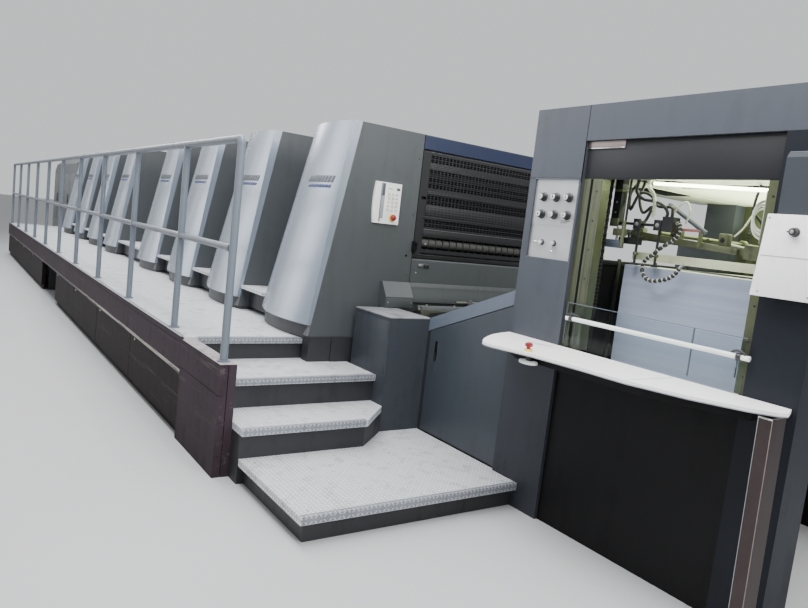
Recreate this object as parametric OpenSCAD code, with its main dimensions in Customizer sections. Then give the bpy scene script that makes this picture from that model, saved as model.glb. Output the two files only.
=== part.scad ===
// Sheet-fed offset printing press with eight printing units, a gallery and a feeder.
// +X runs towards the feeder, +Y towards the drive side, +Z up, and the floor is at zero.

/* [Printing units] */
// Distance between neighbouring unit faces
unit_pitch = 1260; // [1230:5:1400]
// Distance between unit faces across the turning gap
gap_pitch = 2000; // [1900:10:2300]
// Length of a unit housing along the press
unit_l = 600; // [520:10:620]
// Height of the top of a unit above the floor
unit_top = 2050; // [2000:10:2250]
// Half width of a housing at its foot
unit_foot_half = 1352; // [1300:1:1450]
// Lean of the side covers from upright
cover_lean = 9.8; // [8:0.1:13]
// Distance from the foot of a housing up to the foot of its side cover
cover_rise = 75; // [60:5:120]
// Greatest thickness of a side cover
cover_t = 85; // [70:5:110]
// Radius of the bow of a side cover in plan
cover_bow = 1250; // [1000:50:2500]
// Length of a side cover at its foot
cover_l = 810; // [760:10:840]
// How much shorter a side cover is at its top
cover_flare = 160; // [100:10:180]
// Radius of the rounded rear corner of a side cover
cover_r = 120; // [80:5:140]
// Width of the plain strip along the front edge of a side cover
strip_w = 56; // [30:2:70]

/* [Guards] */
// Half width of the guards on the unit face
guard_half = 606; // [540:2:640]
// Height of the blue band above the guards
band_h = 94; // [60:2:110]
// Height of the line between the upper and the lower guard
guard_split = 1204; // [1150:2:1250]
// Height of the foot of the lower guard
guard_foot = 893; // [875:1:960]
// Thickness of a guard
guard_t = 30; // [24:2:40]
// Distance from the side of a guard to its slots
slot_margin = 67; // [50:1:100]

/* [Base] */
// Height of the base frame
base_h = 640; // [630:5:690]
// Half width of the base frame
base_half = 1180; // [1100:10:1200]
// Height of the set-back toe of the base frame
toe_h = 70; // [50:5:100]
// Height of the beds that carry the sheet between the units
bed_top = 884; // [800:1:887]
// Height of the foot steps between the side covers
foot_step_h = 810; // [760:5:860]
// Distance from the middle of the press to the edge of a foot step
foot_step_half = 1340; // [1280:5:1345]

/* [Gallery] */
// Height of the gallery deck
deck_h = 616; // [580:4:624]
// Thickness of the deck and of the treads at their edges
deck_t = 38; // [30:1:60]
// Distance from the middle of the press to the outer edge of the gallery
gallery_half = 2130; // [2000:10:2300]
// Position of the deck nosing above the steps
deck_end = 4690; // [4620:5:4720]
// Position of the far end of the deck
deck_start = -7050; // [-7400:10:-6900]
// Height of the fascia band of the gallery
fascia_h = 158; // [110:2:180]
// Height of the bare strip below the fascia band
strip_h = 20; // [14:2:50]
// Number of railing bays along the deck
rail_bays = 9; // [8:1:12]
// Height of the hand rail above the deck
rail_rise = 1144; // [1050:4:1200]
// Height of the middle rail above the deck
mid_rise = 584; // [480:4:640]
// Diameter of the railing tube
rail_d = 42; // [34:1:50]

/* [Steps] */
// Distance from the deck nosing to the nosing of the first tread
tread_1_run = 474; // [440:2:500]
// Height of the first tread
tread_1_h = 473; // [450:1:490]
// Distance from the first nosing to the nosing of the second tread
tread_2_run = 346; // [320:2:380]
// Height of the second tread
tread_2_h = 300; // [280:5:320]
// Distance from the second nosing to the edge of the low platform
platform_run = 710; // [600:10:760]
// Height of the low platform
platform_h = 135; // [120:5:150]
// Thickness of the cheek beside the steps
cheek_w = 90; // [70:5:110]
// Distance from the deck nosing to the end of the cheek
cheek_run = 676; // [640:2:720]

/* [Feed section] */
// Half width of the feed section
feed_half = 755; // [700:5:760]
// Height of the side door at the post box
door_near_h = 775; // [720:5:830]
// Slope of the top of the side door
feed_slope = 20.9; // [18:0.1:22]
// Height of the sloped flange on the side door
flange_h = 81; // [60:1:90]
// Length of the post box at the head of the steps
post_box_l = 422; // [380:2:430]
// Width of the post box
post_box_w = 310; // [240:5:320]
// Height of the post box
post_box_h = 854; // [800:2:900]

/* [Feeder] */
// Position of the near edge of the front columns
column_x = 6020; // [6000:5:6060]
// Width of the front columns
column_w = 350; // [340:5:380]
// Width of the opening between a front column and a rear post
bay_w = 960; // [900:10:1040]
// Width of the rear posts
post_w = 210; // [180:5:240]
// Half width of the feeder
feeder_half = 775; // [765:5:830]
// Depth of the feeder side frames
frame_t = 180; // [150:5:185]
// Height of the feeder frame
feeder_top = 2090; // [2050:10:2200]
// Height of the upper beams
beam_h = 170; // [140:5:190]
// Height of the recessed aprons below the upper beams
apron_h = 180; // [150:5:200]
// Height of the foot of the recess for the air knobs
recess_foot = 1330; // [1250:5:1340]
// Height of the clear guard above the console table
glass_h = 205; // [150:5:240]
// Width of the guide rail beside a column
guide_w = 46; // [36:1:60]

/* [Pile] */
// Length of a sheet along the press
sheet_l = 700; // [600:10:720]
// Width of a sheet across the press
sheet_w = 1040; // [900:10:1060]
// Height of the top of the sheet pile
pile_top = 1350; // [1300:5:1360]
// Height of the sheet pile
pile_h = 770; // [600:10:780]
// Thickness of the pile board
board_t = 60; // [40:5:80]

/* [Sheet separation] */
// Diameter of a joint of the segmented blower hose
joint_d = 21; // [16:1:26]
// Number of joints along the segmented blower hose
joint_count = 28; // [20:1:34]
// Diameter of the black air hoses
hose_d = 15; // [10:1:20]
// Diameter of the rods that hold the blower
rod_d = 14; // [10:1:20]

/* [Console] */
// Height of the console table top
table_h = 912; // [880:2:940]
// Thickness of the console table top
table_t = 16; // [10:2:40]
// Depth of the table at its rounded end
table_d = 420; // [380:5:560]
// Depth of the table at its square end
table_end_d = 130; // [100:5:300]
// Width of the leg of the table
leg_w = 52; // [44:2:90]

/* [Delivery] */
// Distance from the last unit to the delivery housing
delivery_gap = 820; // [820:10:900]
// Length of the delivery housing
delivery_l = 2900; // [2600:10:3200]
// Half width of the delivery housing
delivery_half = 1100; // [1050:10:1180]
// Height of the opening for the delivered pile
delivery_bay_h = 1500; // [1300:10:1600]

/* [Hidden] */
$fn = 48;
// Gap between neighbouring pieces
fit = 0.3;
// Gap round a moving piece
clear = 6;
units = [1:8];
half_gap = gap_pitch / 2;
function unit_face(n) = n <= 4 ? half_gap + (4 - n) * unit_pitch : -half_gap - (n - 5) * unit_pitch;
unit_rise = unit_top - base_h;
unit_top_half = unit_foot_half - unit_rise * tan(cover_lean);
cover_foot = base_h + cover_rise;
cover_mid = 0.48 * cover_l;
// How far a side cover reaches back beside its housing
cover_return = 260;
corner_reach = cover_l - cover_r - cover_mid;
corner_rise = sqrt(pow(cover_bow - cover_r, 2) - pow(corner_reach, 2));
corner_at = [cover_r - cover_l, cover_bow - cover_t - corner_rise];
bow_from = -atan2(corner_reach, corner_rise);
bow_to = asin((cover_flare + cover_mid) / cover_bow);
plinth_in = 45;
band_foot = unit_top - band_h;
guard_top = band_foot - clear;
pocket_d = 70;
pocket_ledge = 30;
// Slot rows of a guard, each with its distance from the guard's top and its height
slot_rows = [[30, 20], [57, 20], [128, 22], [184, 24], [226, 26], [305, 26], [343, 22], [474, 20], [502, 20]];
base_end = unit_face(1) + 10;
base_start = unit_face(8) - unit_l - cover_flare;
delivery_x = unit_face(8) - unit_l - delivery_gap;
fascia_t = 12;
fascia_foot = deck_h - deck_t - fascia_h;
strip_foot = fascia_foot - strip_h;
cheek_end = deck_end + cheek_run;
cheek_h = deck_h - 13;
rail_y = -gallery_half + cheek_w / 2;
end_post_x = cheek_end - 85;
rail_top = deck_h + rail_rise;
rail_mid = deck_h + mid_rise;
cupboards = 9;
missing_cupboard = 4;
cupboard_pitch = (deck_end - deck_start) / cupboards;
nosing_in = 30;
tread_1_x = deck_end + tread_1_run;
tread_2_x = tread_1_x + tread_2_run;
platform_x = tread_2_x + platform_run;
box_x = base_end + 50;
box_end = box_x + post_box_l;
box_y = -1050;
tread_left = -gallery_half + cheek_w;
mitre_y = -1290;
panel_t = 20;
feed_frame_half = feed_half - panel_t - fit;
door_x = box_end + 28;
door_hinge = [column_x - 12, -feed_half + 8];
hinge_r = 8;
function feed_top(x) = door_near_h + (x - box_end) * tan(feed_slope);
function board_foot(x) = 770 + (x - base_end) * 0.224;
jamb_x = column_x + column_w;
post_x = jamb_x + bay_w;
feeder_end = post_x + post_w;
beam_foot = feeder_top - beam_h;
apron_foot = beam_foot - apron_h;
apron_in = 22;
canopy_foot = apron_foot + 25;
guide_slot = 13;
guide_face = -feeder_half + 20;
guide_back = guide_face + 50;
recess_d = 15;
recess_h = 406;
recess_w = 294;
recess_x = column_x + 44;
pile_x = jamb_x + 130;
board_low = pile_top - pile_h - board_t;
chain_y = 640;
chain_w = 20;
bar_z = table_h + 140;
glass_t = 6;
glass_face = guide_face - clear - glass_t;
head_x = post_x - 270;
head_z = pile_top + 110;
// Places where the hanging gear of the side blower sits
blower_y = -550;
blower_z = canopy_foot - 215;
blower_x = jamb_x + 45;
manifold = [blower_x + 300, blower_y, blower_z + 8];
table_end = feeder_end + 12;
table_corner_x = column_x + 360;

// Lays a profile drawn in Y and Z across the press and draws it out along the press.
module along_x(from, length) {
    translate([from, 0, 0]) rotate([90, 0, 90]) linear_extrude(length) children();
}

// Lays a profile drawn in X and Z upright and draws it out across the press.
module along_y(from, length) {
    translate([0, from + length, 0]) rotate([90, 0, 0]) linear_extrude(length) children();
}

// Draws a plan outline up from a height.
module along_z(from, height) {
    translate([0, 0, from]) linear_extrude(height) children();
}

module box(low, high) {
    translate(low) cube(high - low);
}

module each_side() {
    children();
    mirror([0, 1, 0]) children();
}

module rod_x(from, to, y, z, r) {
    translate([from, y, z]) rotate([0, 90, 0]) cylinder(r = r, h = to - from);
}

module rod_y(x, from, to, z, r) {
    translate([x, to, z]) rotate([90, 0, 0]) cylinder(r = r, h = to - from);
}

module rod_z(x, y, from, to, r) {
    translate([x, y, from]) cylinder(r = r, h = to - from);
}

// Printing units
module housing_profile() {
    polygon([
        [-unit_foot_half, base_h], [unit_foot_half, base_h], [unit_top_half, unit_top],
        [-unit_top_half, unit_top]
    ]);
}

// A unit housing with the rebate for its guards and the pockets behind them.
module unit_housing(n) {
    face = unit_face(n);
    rebate = guard_half + clear;
    hollow = guard_half - pocket_ledge;
    color("#4a4f54") difference() {
        along_x(face - unit_l, unit_l) housing_profile();
        box([face - guard_t - fit, -rebate, guard_foot - clear], [face + 1, rebate, unit_top - 5]);
        box([face - pocket_d, -hollow, guard_foot + pocket_ledge],
            [face, hollow, guard_split - pocket_ledge]);
        box([face - pocket_d, -hollow, guard_split + pocket_ledge],
            [face, hollow, guard_top - pocket_ledge / 2]);
        lid_seams(face);
    }
}

// Shallow seams round the ink duct lid on top of a unit.
module lid_seams(face) {
    seam = 4;
    for (x = [face - 150, face - 450])
        box([x, -unit_top_half - 1, unit_top - seam], [x + seam, unit_top_half + 1, unit_top + 1]);
}

module rear_housings() {
    for (n = [2:8]) unit_housing(n);
}

// Outline of a bowed form in plan, with a large radius at its rear corner that runs into the bow.
module bowed_plan(thick) {
    inset = [0, cover_t - thick];
    bow_at = [-cover_mid, cover_bow - thick];
    corner_steps = 12;
    bow_steps = 56;
    polygon(concat(
        [[cover_flare, cover_return], [-cover_l, cover_return]],
        [for (i = [0:corner_steps])
            arc_point(corner_at + inset, cover_r, -90 + (90 + bow_from) * i / corner_steps)],
        [for (i = [1:bow_steps]) arc_point(bow_at, cover_bow, bow_from + (bow_to - bow_from) * i / bow_steps)]
    ));
}

// Point on an arc, with the angle counted from straight outwards (-Y) towards +X.
function arc_point(at, r, angle) = at + r * [sin(angle), -cos(angle)];

// A side cover leans with its housing, and its rear edge leans forwards as it rises.
module side_cover(n) {
    face = unit_face(n);
    reach = 1.1 * unit_rise;
    flare = atan(cover_flare / unit_rise);
    difference() {
        intersection() {
            translate([face, -unit_foot_half, base_h]) rotate([-cover_lean, 0, 0]) difference() {
                rotate([0, flare, 0]) linear_extrude(reach) bowed_plan(cover_t);
                translate([0, 0, -1]) linear_extrude(reach + cover_t) front_strip();
            }
            box([face - 2 * unit_l, -2 * unit_foot_half, cover_foot], [face, 0, unit_top]);
        }
        along_x(face - unit_l, unit_l + 1) housing_profile();
    }
}

// What is cut off the front edge of a cover to leave the plain strip.
module front_strip() {
    turn = 21;
    rotate(turn) translate([0, -3 * strip_w]) square([unit_l, 3 * strip_w]);
}

module operator_covers() {
    color("#a8b0ba") for (n = units) side_cover(n);
}

module drive_covers() {
    color("#a8b0ba") mirror([0, 1, 0]) for (n = units) side_cover(n);
}

// Dark plinths under the covers and dark boxes under the foot steps.
module cover_plinths() {
    color("#3c4045") each_side() {
        for (n = units) difference() {
            along_z(deck_h + fit, cover_foot - deck_h - 2 * fit)
                translate([unit_face(n), -unit_foot_half]) bowed_plan(cover_t - plinth_in);
            box([unit_face(n) - 2 * unit_l, -base_half, deck_h], [unit_face(n) + cover_flare, 0, unit_top]);
            box([unit_face(n), -2 * unit_foot_half, deck_h], [unit_face(n) + cover_flare, 0, unit_top]);
            along_x(unit_face(n) - unit_l, unit_l + 1) housing_profile();
        }
        for (n = [1:7])
            box([unit_face(n + 1) + fit, -foot_step_half + 78, base_h + fit],
                [unit_face(n) - cover_l - clear, -guard_half - clear, foot_step_h - 25]);
    }
}

module foot_steps() {
    color("#c8cbd0") each_side() for (n = [1:7])
        box([unit_face(n + 1) + fit, -foot_step_half, foot_step_h - 25],
            [unit_face(n) - cover_l - clear, -guard_half - clear, foot_step_h]);
}

module blue_bands() {
    color("#374878") for (n = units)
        box([unit_face(n) - guard_t - fit, -guard_half, band_foot], [unit_face(n), guard_half, unit_top - 5]);
}

// The upper guard has rows of slots, a long opening over the rollers, and a round hinge at its top.
module slotted_guard(n) {
    face = unit_face(n);
    slot_half = guard_half - slot_margin;
    roller_foot = guard_split + 66;
    hinge_z = guard_top - guard_t / 2;
    rod_y(face - guard_t / 2, -guard_half, guard_half, hinge_z, guard_t / 2);
    along_x(face - guard_t, guard_t) difference() {
        translate([-guard_half, guard_split + clear / 2])
            square([2 * guard_half, hinge_z - guard_split - clear / 2]);
        for (row = slot_rows)
            translate([-slot_half, guard_top - row[0] - row[1]]) square([2 * slot_half, row[1]]);
        translate([-slot_half, roller_foot]) square([2 * slot_half, 86]);
        translate([-slot_half, guard_split + 24]) square([2 * slot_half, 16]);
        translate([-guard_half + 22, guard_split + 410]) square([slot_margin - 22 - clear, 20]);
    }
}

// The lower guard is flat above and swells out towards its foot.
module plain_guard(n) {
    face = unit_face(n);
    top = guard_split - clear / 2;
    bend = guard_split - 180;
    swell = 24;
    steps = 12;
    rod_y(face - guard_t / 2, -guard_half, guard_half, top - guard_t / 2, guard_t / 2);
    along_y(-guard_half, 2 * guard_half) polygon(concat(
        [[face - guard_t, guard_foot], [face - guard_t, top - guard_t / 2], [face, top - guard_t / 2]],
        [for (i = [0:steps]) [face + swell * (1 - cos(180 * i / steps)) / 2,
            bend - (bend - guard_foot) * i / steps]]
    ));
}

module upper_guard() {
    color("#45484b") slotted_guard(1);
}

module lower_guard() {
    color("#4c5054") plain_guard(1);
}

module rear_guards() {
    color("#45484b") for (n = [2:8]) {
        slotted_guard(n);
        plain_guard(n);
    }
}

// Panel with a bowed left edge and a grip channel beside the buttons.
module control_panel() {
    panel_h = 273;
    panel_w = 212;
    foot = guard_split + 212;
    bow = 900;
    color("white") along_x(unit_face(1), 16) translate([-978, foot]) difference() {
        intersection() {
            square([panel_w, panel_h]);
            translate([bow, panel_h / 2]) circle(bow, $fn = 360);
        }
        translate([52, 10]) square([14, panel_h - 20]);
    }
}

// Box with a sloping top beside the lower guard.
module junction_box() {
    color("#565b60") along_y(-846, 224) translate([unit_face(1), 0]) polygon([
        [0, guard_foot - 36], [92, guard_foot - 36], [92, guard_foot + 40], [26, guard_foot + 137],
        [0, guard_foot + 137]
    ]);
}

// Base and gallery
// The base carries a bed between the units, and grooves mark where its lengths are joined.
module base_frame() {
    toe_in = 40;
    seam = 8;
    color("#34373b") difference() {
        union() {
            along_x(base_start, base_end - base_start) polygon([
                [-base_half + toe_in, 0], [base_half - toe_in, 0], [base_half - toe_in, toe_h],
                [base_half, toe_h], [base_half, base_h], [-base_half, base_h], [-base_half, toe_h],
                [-base_half + toe_in, toe_h]
            ]);
            for (n = [1:7])
                box([unit_face(n + 1), -guard_half, base_h - 1], [unit_face(n) - unit_l, guard_half, bed_top]);
            box([delivery_x, -guard_half, base_h - 1], [unit_face(8) - unit_l, guard_half, 1300]);
        }
        for (n = [1:7], s = [-1, 1])
            translate([unit_face(n + 1) + 30, s * base_half, base_h / 2])
                cube([seam, 2 * seam, 2 * base_h], center = true);
    }
}

module gallery_deck() {
    color("#c8cbd0")
        box([deck_start, -gallery_half + fascia_t, deck_h - deck_t], [deck_end, -base_half, deck_h]);
}

// Ribs carry the deck from the base frame out to the fascia.
module gallery_frame() {
    rib_t = 50;
    pitch = (deck_end - deck_start - 160) / rail_bays;
    rib_top = deck_h - deck_t;
    color("#4f4a4c") for (i = [0:rail_bays])
        along_x(deck_start + 40 + i * pitch, rib_t) polygon([
            [-base_half, rib_top], [-base_half, 0], [-base_half - 120, 0], [-base_half - 120, 380],
            [-gallery_half + 230, 380], [-gallery_half + 230, 0], [-gallery_half + 100, 0],
            [-gallery_half + 100, strip_foot], [-gallery_half + 60, strip_foot],
            [-gallery_half + 60, rib_top]
        ]);
}

// The fascia is a channel with flanges under the deck, and its lip covers the edge of the deck.
module gallery_fascia() {
    depth = 60;
    top = deck_h - deck_t;
    seam = 4;
    inside = -gallery_half + fascia_t;
    color("#60565a") along_x(deck_start, deck_end - deck_start) polygon([
        [-gallery_half, deck_h - 2], [-gallery_half, top + seam], [-gallery_half + 3, top + seam],
        [-gallery_half + 3, top], [-gallery_half, top], [-gallery_half, fascia_foot],
        [-gallery_half + depth, fascia_foot], [-gallery_half + depth, fascia_foot + fascia_t],
        [inside, fascia_foot + fascia_t], [inside, top - fascia_t], [-gallery_half + depth, top - fascia_t],
        [-gallery_half + depth, top], [inside, top], [inside, deck_h - 2]
    ]);
}

module gallery_strip() {
    color("#b9bcbf")
        box([deck_start, -gallery_half - 3, strip_foot], [deck_end, -gallery_half + 40, fascia_foot]);
}

// Cupboard doors below the gallery, each with a recessed toe, and with one of them missing.
module gallery_cupboards() {
    gap = 5;
    toe = 60;
    color("#554c50") for (i = [0:cupboards - 1]) if (i != missing_cupboard) {
        x = deck_start + i * cupboard_pitch + gap;
        box([x, -gallery_half + 12, toe], [x + cupboard_pitch - 2 * gap, -gallery_half + 40, strip_foot]);
        box([x, -gallery_half + 40, 0], [x + cupboard_pitch - 2 * gap, -gallery_half + 60, strip_foot]);
    }
}

// The cheek is a closed box with a raised edge beside the steps.
module step_cheek() {
    groove = 3;
    seam_y = 43;
    color("#60565a") difference() {
        box([deck_end, -gallery_half, 0], [cheek_end, -gallery_half + cheek_w, cheek_h]);
        for (z = [fascia_foot + 18, tread_2_h - 10, platform_h - 25])
            box([cheek_end - groove, -gallery_half - 1, z], [cheek_end + 1, -gallery_half + seam_y, z + 4]);
        box([deck_end - 1, -gallery_half - 1, fascia_foot + 18],
            [cheek_end + 1, -gallery_half + groove, fascia_foot + 22]);
        box([cheek_end - 3 * groove, -gallery_half + seam_y, -1],
            [cheek_end + 1, -gallery_half + seam_y + 4, cheek_h + 1]);
    }
}

function tread_1_plan(nosing) = [
    [deck_end - nosing_in, tread_left], [nosing, tread_left], [nosing, box_y], [base_end, box_y],
    [base_end, -base_half], [deck_end - nosing_in, -base_half]
];
function tread_2_plan(nosing) = [
    [tread_1_x - nosing_in, tread_left], [nosing, tread_left], [nosing, mitre_y],
    [box_end + 8, box_y - fit], [tread_1_x - nosing_in, box_y - fit]
];
function platform_plan(edge, left) = [
    [tread_2_x - nosing_in, left], [edge, left], [edge, -feeder_half - fit],
    [column_x - fit, -feeder_half - fit], [column_x - fit, -feed_half - 2], [box_end + fit, -feed_half - 2],
    [box_end + fit, box_y - fit], [box_end + 9, box_y - fit], [tread_2_x - nosing_in, mitre_y + 1]
];

module treads() {
    color("#c8cbd0") {
        along_z(tread_1_h - deck_t, deck_t) polygon(tread_1_plan(tread_1_x));
        along_z(tread_2_h - deck_t, deck_t) polygon(tread_2_plan(tread_2_x));
        along_z(platform_h - deck_t, deck_t) polygon(platform_plan(platform_x, tread_left + 5));
    }
}

// Dark boxes below the treads and the platform, each set back behind its nosing.
module step_risers() {
    deck_riser = deck_end - nosing_in;
    color("#3a3d41") {
        box([deck_riser - 30, tread_left, 0], [deck_riser, -base_half, deck_h - deck_t]);
        box([deck_end + fit, -unit_foot_half + 10, tread_1_h], [unit_face(1), -base_half, deck_h]);
        along_z(0, tread_1_h - deck_t) polygon(tread_1_plan(tread_1_x - nosing_in));
        along_z(0, tread_2_h - deck_t) polygon(tread_2_plan(tread_2_x - nosing_in));
        along_z(0, platform_h - deck_t) polygon(platform_plan(platform_x - nosing_in - 10, tread_left + 40));
    }
}

module post_box() {
    color("#6a7078") box([box_x, box_y, 0], [box_end, box_y + post_box_w, post_box_h]);
}

// Tubular railing with base rings, and elbows where the rails meet the end post.
module railing() {
    r = rail_d / 2;
    far = deck_start + 70;
    last = deck_end - 330;
    ring = r + 14;
    color("#7a828c") union() {
        for (i = [0:rail_bays]) {
            x = far + i * (last - far) / rail_bays;
            rod_z(x, rail_y, deck_h, rail_top, r);
            rod_z(x, rail_y, deck_h, deck_h + 8, ring);
        }
        rod_z(end_post_x, rail_y, cheek_h, rail_top - r, r);
        rod_z(end_post_x, rail_y, cheek_h, cheek_h + 8, ring);
        translate([end_post_x - r, rail_y, rail_top - r]) rotate([90, 0, 0])
            rotate_extrude(angle = 90) translate([r, 0]) circle(r);
        rod_x(far - r, end_post_x - r, rail_y, rail_top, r);
        rod_x(far - r, end_post_x, rail_y, rail_mid, 0.9 * r);
    }
}

// Feed section between the first unit and the feeder
module feed_base() {
    ledge = 40;
    carrier_half = 600;
    color("#3a3d41") {
        along_y(-feed_frame_half, 2 * feed_frame_half) polygon([
            [base_end, 0], [column_x, 0], [column_x, feed_top(column_x) - ledge],
            [box_end, door_near_h - ledge], [base_end, door_near_h - ledge]
        ]);
        along_y(-carrier_half, 2 * carrier_half) polygon([
            [base_end, base_h], [column_x, base_h], [column_x, board_foot(column_x)],
            [base_end, board_foot(base_end)]
        ]);
        each_side() along_y(-feed_half, panel_t) polygon([
            [box_end + fit, platform_h], [door_x - clear, platform_h],
            [door_x - clear, feed_top(door_x) - clear], [box_end + fit, feed_top(box_end) - clear]
        ]);
    }
}

// The inclined board that carries the sheets down to the first unit, with its belts and side stops.
module feed_board() {
    end = column_x + 250;
    belt_w = 40;
    stop_x = base_end + 130;
    slope = atan(0.224);
    color("#9aa0a6") {
        along_y(-560, 1120) polygon([
            [base_end, board_foot(base_end)], [end, board_foot(end)], [end, board_foot(end) + 30],
            [base_end, board_foot(base_end) + 30]
        ]);
        for (y = [-450:180:450]) along_y(y - belt_w / 2, belt_w) polygon([
            [base_end + 40, board_foot(base_end + 40) + 30], [end, board_foot(end) + 30],
            [end, board_foot(end) + 34], [base_end + 40, board_foot(base_end + 40) + 34]
        ]);
        each_side() translate([stop_x, -640, board_foot(stop_x)]) rotate([0, -slope, 0]) {
            cube([90, 170, 50]);
            translate([20, 40, 50]) cylinder(r = 18, h = 30);
        }
    }
}

// A side panel with a sloping top, cut out for the hinge along its edge.
module feed_side(low_x) {
    high_x = door_hinge[0] - 3;
    along_y(-feed_half, panel_t) polygon([
        [low_x, platform_h + 10], [high_x, platform_h + 10], [high_x, feed_top(high_x) - clear],
        [low_x, feed_top(low_x) - clear]
    ]);
}

// The door has a long grip slot near its free edge and turns on a pin beside the column.
module feed_side_door() {
    grip_x = door_x + 62;
    grip_z = platform_h + 400;
    color("#606873") {
        difference() {
            feed_side(door_x);
            box([grip_x, -feed_half - 1, grip_z], [grip_x + 26, -feed_half + 14, grip_z + 125]);
        }
        for (z = [platform_h + 60, door_near_h - 40])
            rod_z(door_hinge[0], door_hinge[1], z, z + 90, hinge_r);
    }
}

module feed_side_panel() {
    color("#606873") mirror([0, 1, 0]) feed_side(door_x);
}

module feed_flanges() {
    low_x = box_end + 5;
    high_x = column_x - fit;
    lip = 45;
    color("#8a93a3") each_side() {
        along_y(-feed_half, panel_t) polygon([
            [low_x, feed_top(low_x)], [high_x, feed_top(high_x)], [high_x, feed_top(high_x) + flange_h],
            [low_x, feed_top(low_x) + flange_h]
        ]);
        along_y(-feed_half + panel_t, lip) polygon([
            [low_x, feed_top(low_x) + flange_h - 8], [high_x, feed_top(high_x) + flange_h - 8],
            [high_x, feed_top(high_x) + flange_h], [low_x, feed_top(low_x) + flange_h]
        ]);
    }
}

// Feeder
// The front columns, the operator side one with a recess for the air knobs. The drive side one
// steps back to a narrow post above the sheet head.
module front_columns() {
    drive_w = 190;
    drive_step = 1500;
    color("#50545c") difference() {
        union() {
            box([column_x, -feeder_half, 0], [jamb_x, -feeder_half + frame_t, feeder_top]);
            box([column_x, feeder_half - frame_t, 0], [jamb_x, feeder_half, drive_step]);
            box([jamb_x - drive_w, feeder_half - frame_t, drive_step - 1], [jamb_x, feeder_half, feeder_top]);
        }
        box([recess_x, -feeder_half - 1, recess_foot],
            [recess_x + recess_w, -feeder_half + recess_d, recess_foot + recess_h]);
    }
}

module rear_posts() {
    color("#3c4250") each_side()
        box([post_x, -feeder_half, 0], [feeder_end, -feeder_half + frame_t, beam_foot]);
}

module side_skirts() {
    color("#34373b") each_side()
        box([jamb_x, guide_face, 0], [post_x, guide_face + 20, table_h - 10]);
}

// Each beam has a deep upper part and a recessed apron below it.
module feeder_beams() {
    color("#50545c") each_side() {
        along_x(jamb_x, bay_w) polygon([
            [-feeder_half, beam_foot], [-feeder_half, feeder_top], [-feeder_half + frame_t, feeder_top],
            [-feeder_half + frame_t, beam_foot], [-feeder_half + apron_in + 20, beam_foot],
            [-feeder_half + apron_in + 20, apron_foot], [-feeder_half + apron_in, apron_foot],
            [-feeder_half + apron_in, beam_foot]
        ]);
        box([post_x, -feeder_half, beam_foot], [feeder_end, -feeder_half + frame_t, feeder_top]);
    }
}

// The lining below the beams, with pressed ribs across it.
module canopy() {
    lining_half = feeder_half - apron_in - 20 - fit;
    inner = feeder_half - frame_t;
    rib_d = 5;
    color("#c9cdb8") difference() {
        along_z(canopy_foot, beam_foot - canopy_foot) polygon([
            [jamb_x, -lining_half], [post_x, -lining_half], [post_x, -inner], [feeder_end, -inner],
            [feeder_end, inner], [post_x, inner], [post_x, lining_half], [jamb_x, lining_half]
        ]);
        for (x = [jamb_x + 190:24:post_x - 60])
            box([x, -lining_half + 20, canopy_foot - 1], [x + 8, -inner + 60, canopy_foot + rib_d]);
    }
}

module lamp() {
    tube_l = 650;
    from = jamb_x + 170;
    y = -feeder_half + 235;
    z = canopy_foot - 26;
    color("white") {
        rod_x(from, from + tube_l, y, z, 13);
        for (x = [from, from + tube_l - 20]) box([x, y - 18, z - 18], [x + 20, y + 18, canopy_foot]);
    }
}

// Bright rails beside the columns and the posts, each pair with the slot that the clear guard runs in.
module guide_rails() {
    lip = 60;
    foot = table_h + fit;
    color("#9a9f98") each_side() {
        box([jamb_x, guide_face, foot], [jamb_x + guide_w, guide_back, apron_foot]);
        box([jamb_x + guide_w + guide_slot, guide_face, foot],
            [jamb_x + guide_w + guide_slot + lip, guide_back, apron_foot]);
        box([jamb_x, guide_back, foot], [jamb_x + guide_w + guide_slot + lip, guide_back + 6, canopy_foot]);
        box([post_x - guide_w, guide_face, foot], [post_x, guide_back, apron_foot]);
    }
}

// The board and its lifting frame, whose side rails run up beside the hoist chains.
module pile_board() {
    rail_out = chain_y - chain_w / 2 - fit;
    low = board_low - 50;
    color("#8b7a60") {
        box([pile_x - 10, -sheet_w / 2 - 10, board_low],
            [pile_x + sheet_l + 10, sheet_w / 2 + 10, board_low + board_t]);
        for (x = [pile_x + 60, pile_x + sheet_l - 120]) box([x, -rail_out, low], [x + 60, rail_out, board_low]);
        each_side() box([jamb_x + 50, -rail_out, low], [post_x - 50, -rail_out + 30, board_low]);
    }
}

module sheet_pile() {
    color("#9aa2b4") box([pile_x, -sheet_w / 2, pile_top - pile_h], [pile_x + sheet_l, sheet_w / 2, pile_top]);
}

// The head over the rear edge of the pile, with its arms, lifting tubes and suckers.
module suction_head() {
    arm_y = 430;
    arm_x = jamb_x + 60;
    color("#7d8568") {
        box([head_x, -arm_y - 30, head_z - 25], [head_x + 70, arm_y + 30, head_z + 35]);
        each_side() along_y(-arm_y - 12, 24) polygon([
            [arm_x, head_z + 22], [head_x, head_z - 10], [head_x, head_z + 22], [arm_x, head_z + 50]
        ]);
        each_side() rod_z(head_x + 35, -arm_y + 120, head_z + 35, canopy_foot, rod_d);
        for (y = [-330, -110, 110, 330]) {
            rod_z(head_x + 35, y, pile_top + 30, head_z - 25, rod_d / 2);
            translate([head_x + 35, y, pile_top + 8]) cylinder(r1 = 20, r2 = 9, h = 22);
            box([head_x + 10, y - 22, head_z + 35], [head_x + 60, y + 22, head_z + 95]);
        }
        box([pile_x + 30, -260, pile_top + 30], [head_x, 260, pile_top + 62]);
        box([head_x, -60, pile_top + 30], [head_x + 70, 60, head_z - 25]);
    }
}

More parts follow.
